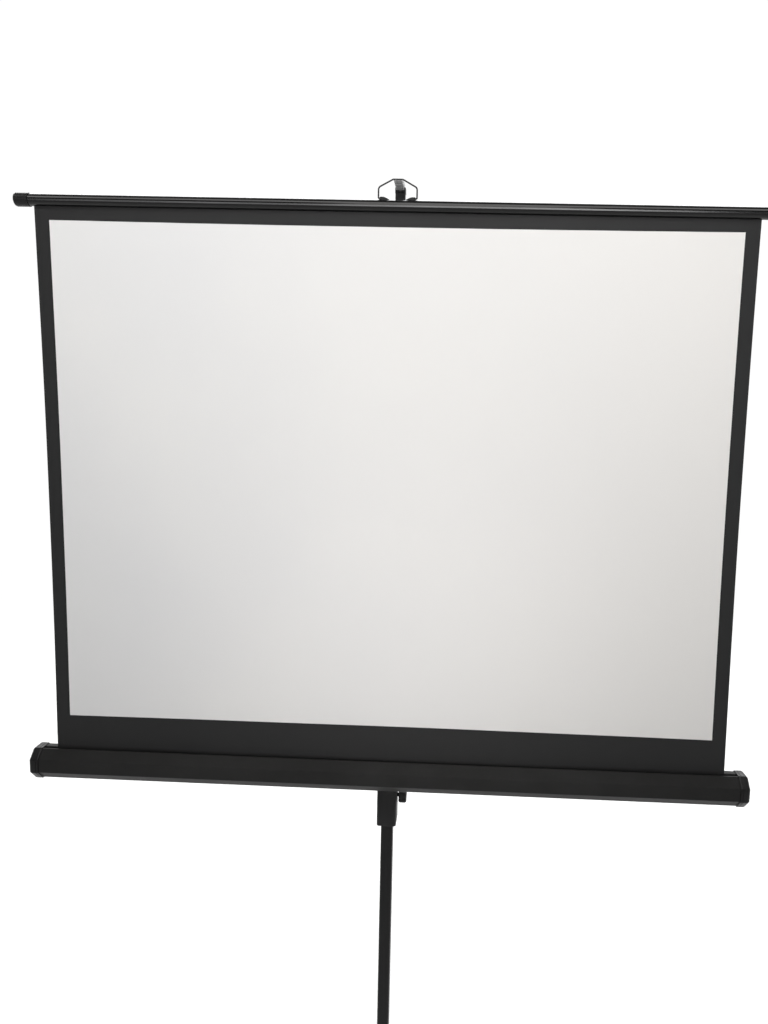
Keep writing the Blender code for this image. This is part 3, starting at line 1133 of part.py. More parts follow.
def make_foot(number, place, tip, rubber, leg):
    """A rubber boot over the leg's end, with ribs round it, cut flat where it stands on the floor."""
    bore = LEG_DIAMETER / 2 + FIT_GAP
    mouth = LEG_LENGTH + FOOT_RADIUS - FOOT_LENGTH
    profile = [(bore, mouth), (FOOT_RADIUS - FOOT_WALL / 2, mouth)]
    start = mouth + FOOT_BAND_WIDTH
    for k in range(FOOT_BANDS):
        low = start + 2 * k * FOOT_BAND_WIDTH
        profile += [
            (FOOT_RADIUS - FOOT_WALL / 2 + FOOT_BAND_RISE, low),
            (FOOT_RADIUS - FOOT_WALL / 2 + FOOT_BAND_RISE, low + FOOT_BAND_WIDTH / 2),
            (FOOT_RADIUS - FOOT_WALL / 2, low + FOOT_BAND_WIDTH),
        ]
    for k in range(FOOT_STEPS):
        a = pi / 2 * k / FOOT_STEPS
        profile.append((FOOT_RADIUS * cos(a), LEG_LENGTH + FOOT_RADIUS * sin(a)))
    profile += [(0, LEG_LENGTH + FOOT_RADIUS), (0, tip + FIT_GAP), (bore, tip + FIT_GAP)]
    mesh = placed(turned(profile, 20), place)
    everything = mesh.verts[:] + mesh.edges[:] + mesh.faces[:]
    flat = bmesh.ops.bisect_plane(mesh, geom=everything, plane_co=(0, 0, 0), plane_no=UP, clear_inner=True)
    edges = [item for item in flat["geom_cut"] if isinstance(item, bmesh.types.BMEdge)]
    bmesh.ops.edgenet_fill(mesh, edges=edges)
    node(f"leg_foot_{number}", mesh, rubber, leg)


def make_brace(number, elbow, out, across, steel, brace):
    """A pressed channel from the leg to the slider: two sides, a web on the column's side, and the end rivets."""
    low = Vector((0, COLUMN_Y, SLIDER_Z)) + out * LEG_PIVOT_RADIUS
    run = (low - elbow).normalized()
    side_place = Matrix.Translation(elbow) @ Matrix((run, across.cross(run), across)).transposed().to_4x4()
    half = BRACE_WIDTH / 2
    outline = []
    for x, start in ((BRACE_LENGTH, -pi / 2), (0, pi / 2)):
        outline += [(x + half * cos(start + pi * i / 6), half * sin(start + pi * i / 6)) for i in range(7)]
    inner = LEG_DIAMETER / 2 + RUN_GAP
    outer = inner + BRACE_THICKNESS
    first = prism(outline, BRACE_THICKNESS, inner)
    item = node(f"brace_{number}", placed(first, side_place), steel, brace)
    join(item, placed(prism(outline, BRACE_THICKNESS, -outer), side_place), "second_side")
    inward = -1 if (side_place.to_3x3() @ Vector((0, 1, 0))).dot(out) > 0 else 1
    web_start, web_end = BRACE_LENGTH * WEB_START_SHARE, BRACE_LENGTH * WEB_END_SHARE
    edge, depth = inward * (half - FIT_GAP), inward * (half - BRACE_THICKNESS)
    web_outline = [(web_start, edge), (web_end, edge), (web_end, depth), (web_start, depth)]
    join(item, placed(prism(web_outline, 2 * outer - BRACE_THICKNESS, -outer + BRACE_THICKNESS / 2), side_place), "web")
    span = 2 * (outer + FIT_GAP)
    hole = rod(PIVOT_RIVET / 2 + FIT_GAP, span + 2 * OVERRUN, -span / 2 - OVERRUN)
    cut(item, placed(hole, side_place), "rivet_hole")
    for flip in (0.0, pi):
        spot = side_place @ Matrix.Translation((BRACE_LENGTH, 0, 0)) @ Matrix.Rotation(flip, 4, "X")
        head = rivet(PIVOT_RIVET, PIVOT_RIVET_HEAD, PIVOT_RIVET_RISE, BRACE_THICKNESS - 2 * FIT_GAP)
        join(item, placed(head, spot @ Matrix.Translation((0, 0, inner + FIT_GAP))), "slider_rivet")
    through = two_headed(PIVOT_RIVET, PIVOT_RIVET_HEAD, PIVOT_RIVET_RISE, span)
    node(f"brace_rivet_{number}", placed(through, side_place), steel, brace)


def main():
    clear_scene()
    gloss_black = material("gloss_black_paint", (0.012, 0.012, 0.013), 0.22, 0.0)
    satin_black = material("satin_black_paint", (0.020, 0.020, 0.021), 0.42, 0.0)
    case_paint = material("case_paint", (0.022, 0.022, 0.023), 0.38, 0.0)
    black_plastic = material("black_plastic", (0.024, 0.024, 0.025), 0.55)
    grey_plastic = material("grey_plastic", (0.30, 0.30, 0.30), 0.50)
    rubber = material("black_rubber", (0.018, 0.018, 0.018), 0.85)
    zinc = material("zinc_steel", (0.55, 0.56, 0.57), 0.35, 1.0)
    wire = material("nickel_wire", (0.50, 0.50, 0.50), 0.30, 1.0)
    dark_steel = material("dark_screws", (0.05, 0.05, 0.05), 0.40, 1.0)
    cloth = material("matte_white_sheet", (0.78, 0.78, 0.77), 0.90)

    case = pivot("case_body", (0, COLUMN_Y, CASE_Z))
    roller = pivot("roller_body", (0, ROLLER_Y, CASE_Z))
    slat = pivot("slat_body", (0, SHEET_Y, SLAT_Z))
    bail = pivot("bail_body", (0, SHEET_Y, SLAT_Z + BAIL_AXIS_RISE))
    pole = pivot("pole_body", (0, COLUMN_Y, SLAT_Z))
    clamp = pivot("clamp_body", (0, COLUMN_Y, CLAMP_KNOB_Z))
    latch = pivot("latch_body", (0, COLUMN_Y, LATCH_Z))
    slider = pivot("slider_body", (0, COLUMN_Y, SLIDER_Z))
    slider_knob = pivot("slider_knob_body", (0, COLUMN_Y, SLIDER_KNOB_Z))

    make_sheet(cloth)
    make_slat(gloss_black, black_plastic, slat)
    make_bail(wire, satin_black, slat, bail)
    make_case(case_paint, black_plastic, dark_steel, case)
    make_roller(black_plastic, zinc, cloth, case, roller)
    floor, mouth = make_column(satin_black, black_plastic)
    make_latch(grey_plastic, zinc, floor, mouth, latch)
    make_pole(satin_black, black_plastic, dark_steel, pole)
    make_arm(grey_plastic, pole)
    rear, middle_z = make_carrier(black_plastic, case)
    make_handle(black_plastic, dark_steel, rear, middle_z, case)
    make_saddle(zinc, case)
    knob_centre = (0, COLUMN_Y, CLAMP_KNOB_Z)
    make_knob("clamp_knob", black_plastic, clamp, knob_centre, RIGHT, CARRIER_WIDTH / 2, KNOB_DIAMETER, KNOB_LENGTH)
    make_hub(black_plastic, zinc)
    make_slider(black_plastic, slider, slider_knob)
    for number, turn in enumerate(LEG_HEADINGS, 1):
        out = heading(turn)
        hinge = Vector((0, COLUMN_Y, HUB_Z)) + out * LEG_PIVOT_RADIUS
        along = out * sin(LEG_SPREAD) - UP * cos(LEG_SPREAD)
        leg = pivot(f"leg_body_{number}", hinge)
        brace = pivot(f"brace_body_{number}", hinge + along * BRACE_LENGTH)
        make_leg(number, turn, satin_black, rubber, zinc, leg, brace)


main()
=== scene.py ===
"""The looks of the pull-up tripod screen: fabric, finer pieces, finishes, stage, light and camera."""
from math import cos, exp, pi, radians, sin, sqrt, tan

import bmesh
import bpy
from mathutils import Euler, Matrix, Vector


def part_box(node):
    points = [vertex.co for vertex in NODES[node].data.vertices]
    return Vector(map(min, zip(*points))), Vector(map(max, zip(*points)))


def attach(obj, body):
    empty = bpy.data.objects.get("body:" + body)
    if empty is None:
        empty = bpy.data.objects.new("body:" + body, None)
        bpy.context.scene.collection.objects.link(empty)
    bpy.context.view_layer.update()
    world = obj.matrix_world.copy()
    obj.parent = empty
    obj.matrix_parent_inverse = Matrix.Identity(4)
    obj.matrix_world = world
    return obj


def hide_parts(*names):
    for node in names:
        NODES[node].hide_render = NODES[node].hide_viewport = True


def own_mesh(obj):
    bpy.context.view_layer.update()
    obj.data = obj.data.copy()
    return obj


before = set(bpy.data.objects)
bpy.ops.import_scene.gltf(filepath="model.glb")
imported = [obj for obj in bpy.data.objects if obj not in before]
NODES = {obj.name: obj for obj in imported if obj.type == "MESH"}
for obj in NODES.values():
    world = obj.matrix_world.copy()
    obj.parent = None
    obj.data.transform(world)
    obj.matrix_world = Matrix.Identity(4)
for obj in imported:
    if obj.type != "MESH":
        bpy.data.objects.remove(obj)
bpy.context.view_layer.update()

UP, BACK, RIGHT = Vector((0, 0, 1)), Vector((0, 1, 0)), Vector((1, 0, 0))


def middle(node):
    """The centre of a node's box."""
    low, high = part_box(node)
    return (low + high) / 2


def half_height(node):
    """Half the height of a node's box, the radius of a piece that lies along X."""
    low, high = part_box(node)
    return (high.z - low.z) / 2


# Places read from the solids
SLAT_LOW, SLAT_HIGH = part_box("slat_tube")
SLAT_RADIUS = (SLAT_HIGH.y - SLAT_LOW.y) / 2
SHEET_Y, SLAT_Z = middle("slat_tube").yz
CASE_Y, CASE_Z = middle("case_shell").yz
COLUMN_Y = middle("column_tube").y
ROLLER_Y = middle("roller_tube").y
KNOB_Z = middle("clamp_knob").z

# The sheet: its picture, its borders, and how it hangs a little to the left of the slat's middle
VIEW_WIDTH, VIEW_HEIGHT = 1.270, 0.9525
SIDE_BORDER, TOP_BORDER = 0.027, 0.0232
FABRIC_HALF = VIEW_WIDTH / 2 + SIDE_BORDER
THICKNESS = 0.0004
SHEET_DRIFT = 0.004
SHEET_LEAN = 0.0094
SHEET_X = middle("screen_fabric").x - SHEET_DRIFT
WHITE_HIGH = SLAT_Z - SLAT_RADIUS - TOP_BORDER
WHITE_LOW = WHITE_HIGH - VIEW_HEIGHT
WHITE_MIDDLE = (WHITE_LOW + WHITE_HIGH) / 2


# Meshes

def soften(item, angle):
    """Shades a piece smooth, with the edges sharper than an angle in degrees kept sharp."""
    item.data.shade_smooth()
    item.data.set_sharp_from_angle(angle=radians(angle))


def from_bmesh(name, mesh, smooth=40.0):
    """An object that holds a mesh, shaded smooth up to an angle in degrees."""
    bmesh.ops.recalc_face_normals(mesh, faces=mesh.faces)
    data = bpy.data.meshes.new(name)
    mesh.to_mesh(data)
    mesh.free()
    item = bpy.data.objects.new(name, data)
    soften(item, smooth)
    bpy.context.scene.collection.objects.link(item)
    return item


def apply_modifiers(item):
    """Gives a piece the mesh that its modifiers make."""
    bpy.context.view_layer.update()
    shape = item.evaluated_get(bpy.context.evaluated_depsgraph_get())
    item.data = bpy.data.meshes.new_from_object(shape)
    item.modifiers.clear()


def carve(item, cutters, smooth=40.0):
    """Cuts closed meshes out of a piece."""
    for mesh in cutters:
        tool = from_bmesh("cutter", mesh)
        change = item.modifiers.new("cut", "BOOLEAN")
        change.operation = "DIFFERENCE"
        change.solver = "EXACT"
        change.object = tool
        apply_modifiers(item)
        bpy.data.objects.remove(tool)
    soften(item, smooth)


def dress(item, look, body, node):
    """Gives a finer piece its look and its body, and puts it in its node's place."""
    item.data.materials.clear()
    item.data.materials.append(look)
    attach(item, body)
    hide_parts(node)


def ring(radius, steps):
    """Points around a circle."""
    return [(radius * cos(2 * pi * i / steps), radius * sin(2 * pi * i / steps)) for i in range(steps)]


def loft(rings, closed=False):
    """A surface through rings of equal point counts, capped at both ends or closed into a loop."""
    mesh = bmesh.new()
    rows = [[mesh.verts.new(point) for point in points] for points in rings]
    count = len(rows[0])
    pairs = list(zip(rows, rows[1:]))
    if closed:
        pairs.append((rows[-1], rows[0]))
    for a, b in pairs:
        for i in range(count):
            j = (i + 1) % count
            mesh.faces.new((a[i], a[j], b[j], b[i]))
    if not closed:
        mesh.faces.new(rows[0])
        mesh.faces.new(rows[-1])
    return mesh


def turned(profile, steps):
    """A profile of (radius, height) turned about Z; points on the axis close it."""
    mesh = bmesh.new()
    rows = []
    for radius, height in profile:
        if radius <= 0:
            rows.append([mesh.verts.new((0, 0, height))] * steps)
        else:
            rows.append([mesh.verts.new((x, y, height)) for x, y in ring(radius, steps)])
    for a, b in zip(rows, rows[1:]):
        for i in range(steps):
            j = (i + 1) % steps
            corners = list(dict.fromkeys((a[i], a[j], b[j], b[i])))
            if len(corners) > 2:
                mesh.faces.new(corners)
    return mesh


def rod(radius, start, end, steps=28):
    """A round bar along Z."""
    return turned([(0, start), (radius, start), (radius, end), (0, end)], steps)


def bar(outline, start, end):
    """A flat outline drawn out along Z."""
    return loft([[(x, y, z) for x, y in outline] for z in (start, end)])


def box_outline(width, height, radius, centre, steps=5):
    """A rectangle with round corners."""
    outline = []
    for quarter, (across, up) in enumerate(((1, 1), (-1, 1), (-1, -1), (1, -1))):
        for k in range(steps):
            a = pi / 2 * (quarter + k / (steps - 1))
            x = across * (width / 2 - radius) + radius * cos(a)
            y = up * (height / 2 - radius) + radius * sin(a)
            outline.append((centre[0] + x, centre[1] + y))
    return outline


def octagon_outline(half, bend=0.0030, steps=4):
    """An octagon with round corners, given half its width across the flats."""
    eighth = pi / 8
    outline = []
    for k in range(8):
        turn = eighth + k * 2 * eighth
        centre = Vector((cos(turn), sin(turn))) * (half - bend) / cos(eighth)
        for i in range(steps):
            a = turn - eighth + 2 * eighth * i / (steps - 1)
            outline.append((centre.x + bend * cos(a), centre.y + bend * sin(a)))
    return outline


def filleted(points, radii, steps=6):
    """An open path with its inner corners rounded."""
    path = [Vector(points[0])]
    for before, corner, after, radius in zip(points, points[1:], points[2:], radii):
        before, corner, after = Vector(before), Vector(corner), Vector(after)
        a = (before - corner).normalized()
        b = (after - corner).normalized()
        half = a.angle(b) / 2
        reach = radius / tan(half)
        centre = corner + (a + b).normalized() * radius / sin(half)
        start = (corner + a * reach - centre).normalized()
        end = (corner + b * reach - centre).normalized()
        for k in range(steps + 1):
            path.append(centre + start.slerp(end, k / steps) * radius)
    return path + [Vector(points[-1])]


def placing(origin, along, across):
    """A matrix whose Z runs along and whose X runs across."""
    z = Vector(along).normalized()
    x = Vector(across)
    x = (x - z * x.dot(z)).normalized()
    y = z.cross(x)
    return Matrix.Translation(origin) @ Matrix((x, y, z)).transposed().to_4x4()


def placed(mesh, matrix):
    """A mesh after it is moved by a matrix."""
    bmesh.ops.transform(mesh, matrix=matrix, verts=mesh.verts)
    return mesh


# Materials

class Skin:
    """A material, with a short way to write its node tree."""

    def __init__(self, name):
        self.material = bpy.data.materials.new(name)
        self.material.use_nodes = True
        self.tree = self.material.node_tree
        self.shader = self.tree.nodes["Principled BSDF"]
        self.place = self.add("ShaderNodeTexCoord").outputs["Object"]

    def add(self, kind, **settings):
        made = self.tree.nodes.new(kind)
        for key, value in settings.items():
            setattr(made, key, value)
        return made

    def put(self, socket, value):
        """Links an output to a socket, or sets the socket to a number or a colour."""
        if isinstance(value, bpy.types.NodeSocket):
            self.tree.links.new(value, socket)
        elif isinstance(value, tuple) and socket.type == "RGBA":
            socket.default_value = (*value, 1.0)
        else:
            socket.default_value = value

    def stretch(self, scale):
        """The place on the object, with each axis scaled by its own number."""
        made = self.add("ShaderNodeMapping")
        self.put(made.inputs["Vector"], self.place)
        made.inputs["Scale"].default_value = scale
        return made.outputs[0]

    def noise(self, scale, detail=4.0, rough=0.55, vector=None):
        made = self.add("ShaderNodeTexNoise")
        self.put(made.inputs["Vector"], vector or self.place)
        made.inputs["Scale"].default_value = scale
        made.inputs["Detail"].default_value = detail
        made.inputs["Roughness"].default_value = rough
        return made.outputs["Fac"]

    def cells(self, scale):
        made = self.add("ShaderNodeTexVoronoi")
        self.put(made.inputs["Vector"], self.place)
        made.inputs["Scale"].default_value = scale
        return made.outputs["Distance"]

    def ramp(self, value, low, high, start=0.0, end=1.0):
        """A value that goes from start to end while another goes from low to high."""
        made = self.add("ShaderNodeMapRange")
        made.clamp = True
        self.put(made.inputs["Value"], value)
        made.inputs["From Min"].default_value = low
        made.inputs["From Max"].default_value = high
        made.inputs["To Min"].default_value = start
        made.inputs["To Max"].default_value = end
        return made.outputs["Result"]

    def fade(self, noise, start=0.0, end=1.0):
        """Soft patches: the middle of a noise's range spread from start to end."""
        return self.ramp(noise, low=0.3, high=0.7, start=start, end=end)

    def math(self, operation, a, b):
        made = self.add("ShaderNodeMath", operation=operation)
        self.put(made.inputs[0], a)
        self.put(made.inputs[1], b)
        return made.outputs[0]

    def share(self, value, part):
        """A part of a value, for a layer that shows only faintly."""
        return self.math("MULTIPLY", value, part)

    def mix(self, factor, a, b):
        made = self.add("ShaderNodeMix", data_type="RGBA")
        self.put(made.inputs["Factor"], factor)
        self.put(made.inputs[6], a)
        self.put(made.inputs[7], b)
        return made.outputs[2]

    def axis(self, index):
        """One coordinate of the place on the object."""
        made = self.add("ShaderNodeSeparateXYZ")
        self.put(made.inputs[0], self.place)
        return made.outputs[index]

    def colour(self, value):
        self.put(self.shader.inputs["Base Color"], value)

    def rough(self, value):
        self.put(self.shader.inputs["Roughness"], value)

    def bump(self, height, strength, distance, after=None):
        """Fine relief, on top of the relief given as after."""
        made = self.add("ShaderNodeBump")
        made.inputs["Strength"].default_value = strength
        made.inputs["Distance"].default_value = distance
        self.put(made.inputs["Height"], height)
        if after is not None:
            self.put(made.inputs["Normal"], after)
        self.put(self.shader.inputs["Normal"], made.outputs[0])
        return made.outputs[0]

    def set(self, **values):
        """Sets values that are the same all over the surface."""
        for key, value in values.items():
            self.shader.inputs[key.replace("_", " ")].default_value = value


def toned(shade, factor):
    """A colour made darker or lighter."""
    return tuple(channel * factor for channel in shade)


def black_paint(name, shade, roughness, peel, grain, specular, coat=0.0):
    """Sprayed black paint: orange peel, a little dust and a roughness that wanders."""
    skin = Skin(name)
    cloud = skin.noise(scale=7.0)
    tone = skin.mix(skin.fade(cloud), toned(shade, 0.85), toned(shade, 1.2))
    dust = skin.ramp(skin.noise(scale=320.0, detail=5.0, rough=0.6), low=0.60, high=0.80)
    skin.colour(skin.mix(skin.share(dust, 0.06), tone, (0.16, 0.16, 0.155)))
    streaks = skin.noise(scale=60.0, detail=3.0, rough=0.5, vector=skin.stretch((0.15, 1.0, 1.0)))
    wander = skin.fade(cloud, roughness - 0.05, roughness + 0.05)
    skin.rough(skin.math("ADD", wander, skin.ramp(streaks, low=0.4, high=0.7, start=-0.02, end=0.03)))
    swell = skin.bump(skin.noise(scale=grain / 6, detail=2.0), strength=peel * 0.8, distance=0.0004)
    fine = skin.noise(scale=grain, detail=2.0, rough=0.5)
    skin.bump(fine, strength=peel, distance=0.00012, after=swell)
    skin.set(Specular_IOR_Level=specular, Coat_Weight=coat, Coat_Roughness=0.12)
    return skin.material


def moulded_plastic(name, shade, roughness, specular=0.45):
    """Moulded plastic with a spark-eroded grain and faint pale wear."""
    skin = Skin(name)
    grain = 1400.0
    cloud = skin.noise(scale=14.0, detail=3.0)
    tone = skin.mix(skin.fade(cloud), toned(shade, 0.9), toned(shade, 1.12))
    pale = skin.ramp(skin.noise(scale=210.0, detail=6.0, rough=0.65), low=0.62, high=0.85)
    worn = tuple(channel * 2 + 0.1 for channel in shade)
    skin.colour(skin.mix(skin.share(pale, 0.05), tone, worn))
    skin.rough(skin.fade(cloud, roughness - 0.06, roughness + 0.05))
    swell = skin.bump(skin.noise(scale=grain / 3, detail=2.0), strength=0.25, distance=0.0002)
    skin.bump(skin.cells(grain), strength=0.35, distance=0.00012, after=swell)
    skin.set(Specular_IOR_Level=specular)
    return skin.material


def plated_steel(name, shade, roughness):
    """Plated steel: a faint spangle, small dark spots and a fine uneven gloss."""
    skin = Skin(name)
    spangle = skin.ramp(skin.noise(scale=38.0, rough=0.6), low=0.35, high=0.65)
    warm = (shade[0] * 1.05, shade[1] * 1.02, shade[2] * 0.95)
    tone = skin.mix(spangle, toned(shade, 0.86), warm)
    spots = skin.ramp(skin.noise(scale=150.0, detail=6.0, rough=0.7), low=0.66, high=0.82)
    skin.colour(skin.mix(skin.share(spots, 0.35), tone, (0.16, 0.14, 0.12)))
    gloss = skin.noise(scale=400.0, detail=3.0, rough=0.6)
    skin.rough(skin.ramp(gloss, low=0.35, high=0.65, start=roughness - 0.08, end=roughness + 0.1))
    skin.bump(skin.noise(scale=800.0, detail=3.0, rough=0.6), strength=0.15, distance=0.00008)
    skin.set(Metallic=1.0)
    return skin.material


def black_rubber(name):
    """Black rubber with dust, most of it near the floor."""
    skin = Skin(name)
    dust = skin.ramp(skin.noise(scale=90.0, detail=5.0, rough=0.6), low=0.45, high=0.8)
    near_floor = skin.ramp(skin.axis(2), low=0.0, high=0.02, start=0.5, end=0.12)
    skin.colour(skin.mix(skin.share(dust, near_floor), (0.016, 0.016, 0.016), (0.16, 0.15, 0.14)))
    skin.rough(skin.ramp(dust, low=0.0, high=1.0, start=0.72, end=0.9))
    skin.bump(skin.noise(scale=1100.0, detail=3.0), strength=0.3, distance=0.00015)
    skin.set(Specular_IOR_Level=0.35)
    return skin.material


def woven(skin, threads, strength, distance):
    """A plain weave in relief, from two sets of threads."""
    sets = []
    for direction in ("X", "Z"):
        wave = skin.add("ShaderNodeTexWave", wave_type="BANDS", bands_direction=direction, wave_profile="SIN")
        skin.put(wave.inputs["Vector"], skin.place)
        wave.inputs["Scale"].default_value = threads
        wave.inputs["Distortion"].default_value = 0.6
        wave.inputs["Detail"].default_value = 1.0
        wave.inputs["Detail Scale"].default_value = 3.0
        sets.append(wave.outputs["Fac"])
    skin.bump(skin.math("ADD", *sets), strength, distance)


def white_surface():
    """Matte white viewing surface: a fine even grain, the faint clouds of a coated cloth, and painted warm
    light that grows towards the right.
    """
    skin = Skin("screen_white")
    cloud = skin.noise(scale=2.2, detail=3.0, rough=0.5, vector=skin.stretch((1.0, 1.0, 0.8)))
    cool = skin.mix(skin.fade(cloud), (0.76, 0.76, 0.765), (0.81, 0.805, 0.795))
    # Painted light: the white turns warmer towards the right, where warmer light falls; the clouds before it
    # are the cloth's own tone.
    tone = skin.mix(skin.ramp(skin.axis(0), low=-0.5, high=0.7), cool, (0.80, 0.785, 0.765))
    fine = skin.fade(skin.noise(scale=700.0, detail=2.0, rough=0.5))
    skin.colour(skin.mix(fine, tone, skin.mix(0.03, tone, (0.6, 0.6, 0.6))))
    skin.rough(skin.fade(cloud, 0.82, 0.92))
    skin.bump(skin.cells(1500.0), strength=0.12, distance=0.0001)
    skin.set(Specular_IOR_Level=0.25, Sheen_Weight=0.08, Sheen_Roughness=0.5)
    return skin.material


def black_border():
    """The printed black mask: ink over the same cloth."""
    skin = Skin("screen_border")
    cloud = skin.noise(scale=9.0)
    tone = skin.mix(skin.fade(cloud), (0.010, 0.010, 0.0106), (0.0145, 0.0145, 0.0148))
    specks = skin.ramp(skin.noise(scale=420.0, detail=5.0, rough=0.7), low=0.66, high=0.84)
    skin.colour(skin.mix(skin.share(specks, 0.08), tone, (0.2, 0.2, 0.2)))
    skin.rough(skin.fade(cloud, 0.52, 0.64))
    woven(skin, threads=420.0, strength=0.10, distance=0.00008)
    skin.set(Specular_IOR_Level=0.32, Sheen_Weight=0.03, Sheen_Roughness=0.4)
    return skin.material


def black_backing():
    """The back of the sheet: a black light-tight coat with the weave showing through."""
    skin = Skin("screen_backing")
    cloud = skin.noise(scale=5.0, detail=5.0, rough=0.6)
    skin.colour(skin.mix(skin.fade(cloud), (0.020, 0.020, 0.022), (0.030, 0.030, 0.031)))
    skin.rough(skin.fade(cloud, 0.62, 0.78))
    woven(skin, threads=300.0, strength=0.25, distance=0.00012)
    skin.set(Specular_IOR_Level=0.3)
    return skin.material


GLOSS = black_paint("slat_gloss", (0.003, 0.003, 0.0032), 0.20, peel=0.10, grain=500.0, specular=0.30,
                    coat=0.16)
SATIN = black_paint("tube_satin", (0.008, 0.008, 0.0083), 0.38, peel=0.30, grain=1300.0, specular=0.2)
CASE_PAINT = black_paint("case_paint", (0.024, 0.0239, 0.0236), 0.44, peel=0.18, grain=800.0, specular=0.05)
PLASTIC = moulded_plastic("plastic_black", (0.010, 0.010, 0.0104), 0.50, specular=0.2)
CAP_PLASTIC = moulded_plastic("plastic_caps", (0.013, 0.013, 0.0134), 0.34, specular=0.16)
GREY = moulded_plastic("plastic_grey", (0.26, 0.26, 0.262), 0.48)
BUTTON = moulded_plastic("plastic_button", (0.22, 0.22, 0.22), 0.50)
RUBBER = black_rubber("rubber_black")
ZINC = plated_steel("steel_zinc", (0.56, 0.57, 0.58), 0.34)
BRIGHT = plated_steel("steel_bright", (0.60, 0.60, 0.60), 0.26)
WIRE = plated_steel("wire_dark", (0.045, 0.045, 0.048), 0.42)
DARK = plated_steel("steel_black_oxide", (0.055, 0.055, 0.058), 0.42)
WHITE = white_surface()
BORDER = black_border()
BACKING = black_backing()

# Each look, with how the names of its nodes start; all other nodes are black plastic
FINISHES = (
    (GLOSS, ("slat_tube",)),
    (CASE_PAINT, ("case_shell",)),
    (SATIN, ("column_tube", "pole_tube", "leg_tube", "bail_ear")),
    (CAP_PLASTIC, ("slat_cap", "case_cap_left", "case_cap_right")),
    (GREY, ("hook_arm",)),
    (BUTTON, ("latch_button",)),
    (WIRE, ("bail_wire",)),
    (RUBBER, ("leg_foot",)),
    (ZINC, ("roller_tube", "case_saddle", "saddle_rivet", "pivot_bolt", "hub_screw", "hub_rivet")),
    (ZINC, ("brace_1", "brace_2", "brace_3", "brace_rivet")),
    (BRIGHT, ("roller_pin", "roller_spring", "spring_shaft", "latch_spring")),
    (DARK, ("case_cap_screw", "handle_screw", "hook_screw")),
)

for name, node in NODES.items():
    finish = next((look for look, starts in FINISHES if name.startswith(starts)), PLASTIC)
    node.data.materials.clear()
    node.data.materials.append(finish)


# The sheet

# Rows and columns of its mesh, and the edge of the picture as a share of the sheet's half width
PICTURE_COLUMNS, BORDER_COLUMNS = 90, 6
DROP_ROWS, PICTURE_ROWS, TOP_ROWS = 14, 76, 8
EDGE = VIEW_WIDTH / 2 / FABRIC_HALF

# The bead in its top hem, with the turns at which its section is drawn
BEAD_RADIUS = 0.0025
BEAD_NECK = 0.95
BEAD_START, BEAD_STEP, BEAD_POINTS = -70, 17.5, 10

# Its side edges curl and draw in, and the whole of it has shallow waves and puckers near the slat
WAIST = 0.003
CURL_DEPTH, CURL_POWER = 0.0025, 8
SWELL_DEPTH = 0.00055
SWELL_ACROSS, SWELL_ACROSS_SHIFT = 4.1, 0.8
SWELL_UP, SWELL_UP_SHIFT = 3.3, 0.4
RIPPLES = ((0.00035, 9.0, -2.6, 1.1), (0.00022, 2.0, 14.0, 0.0))
PUCKER_DEPTH, PUCKER_REACH, PUCKERS = 0.00035, 0.07, 31.0
CALM_NEAR_ENDS = 6

# The printed mask: its top edge tilts, and its top and foot edges bow
MASK_TILT = 0.0014
MASK_BOW = 0.0024


def sheet_columns():
    """Places across the sheet, as shares of its half width, with a line on each edge of the picture."""
    inner = [EDGE * (2 * i / PICTURE_COLUMNS - 1) for i in range(PICTURE_COLUMNS + 1)]
    outer = [EDGE + (1 - EDGE) * i / BORDER_COLUMNS for i in range(1, BORDER_COLUMNS + 1)]
    return [-share for share in reversed(outer)] + inner + outer


def sheet_levels(top):
    """Heights up the flat of the sheet, with a line on each edge of the picture."""
    levels = [CASE_Z + (WHITE_LOW - CASE_Z) * i / DROP_ROWS for i in range(DROP_ROWS)]
    levels += [WHITE_LOW + VIEW_HEIGHT * i / PICTURE_ROWS for i in range(PICTURE_ROWS + 1)]
    levels += [WHITE_HIGH + (top - WHITE_HIGH) * i / TOP_ROWS for i in range(1, TOP_ROWS + 1)]
    return levels


def sheet_y(share, rise):
    """How far a point of the sheet lies behind its flat plane."""
    bow = sin(pi * min(max(rise, 0), 1))
    curl = CURL_DEPTH * bow * abs(share) ** CURL_POWER
    waves = SWELL_DEPTH * sin(SWELL_ACROSS * share + SWELL_ACROSS_SHIFT)
    waves *= sin(SWELL_UP * rise + SWELL_UP_SHIFT)
    for depth, across, upward, shift in RIPPLES:
        waves += depth * sin(across * share + upward * rise + shift)
    pucker = PUCKER_DEPTH * exp(-((1 - rise) / PUCKER_REACH) ** 2) * sin(PUCKERS * share)
    return curl + (waves + pucker) * min(1.0, CALM_NEAR_ENDS * bow)


def mask_drift(share, z):
    """How far the printed mask strays in height: its top edge tilts, and both edges bow inwards a little."""
    if z > WHITE_HIGH:
        top, foot = max(0.0, 1 - (z - WHITE_HIGH) / TOP_BORDER), 0.0
    elif z > WHITE_LOW:
        foot = (WHITE_HIGH - z) / VIEW_HEIGHT
        top = 1 - foot
    else:
        top, foot = 0.0, (z - CASE_Z) / (WHITE_LOW - CASE_Z)
    return top * MASK_TILT * FABRIC_HALF * share + (foot - top) * MASK_BOW * (1 - share ** 2)


def sheet_rows(mesh, profile, columns, top, face):
    """The points of one face of the sheet, row by row: -1 is its front and 1 its back."""
    rows = []
    for z, half in profile:
        rise = min((z - CASE_Z) / (top - CASE_Z), 1.0)
        width = FABRIC_HALF - WAIST * sin(pi * rise)
        row = []
        for share in columns:
            x = SHEET_X + width * share - SHEET_LEAN * (z - WHITE_MIDDLE)
            y = SHEET_Y + sheet_y(share, rise) + face * half
            row.append(mesh.verts.new((x, y, z + mask_drift(share, z))))
        rows.append(row)
    return rows


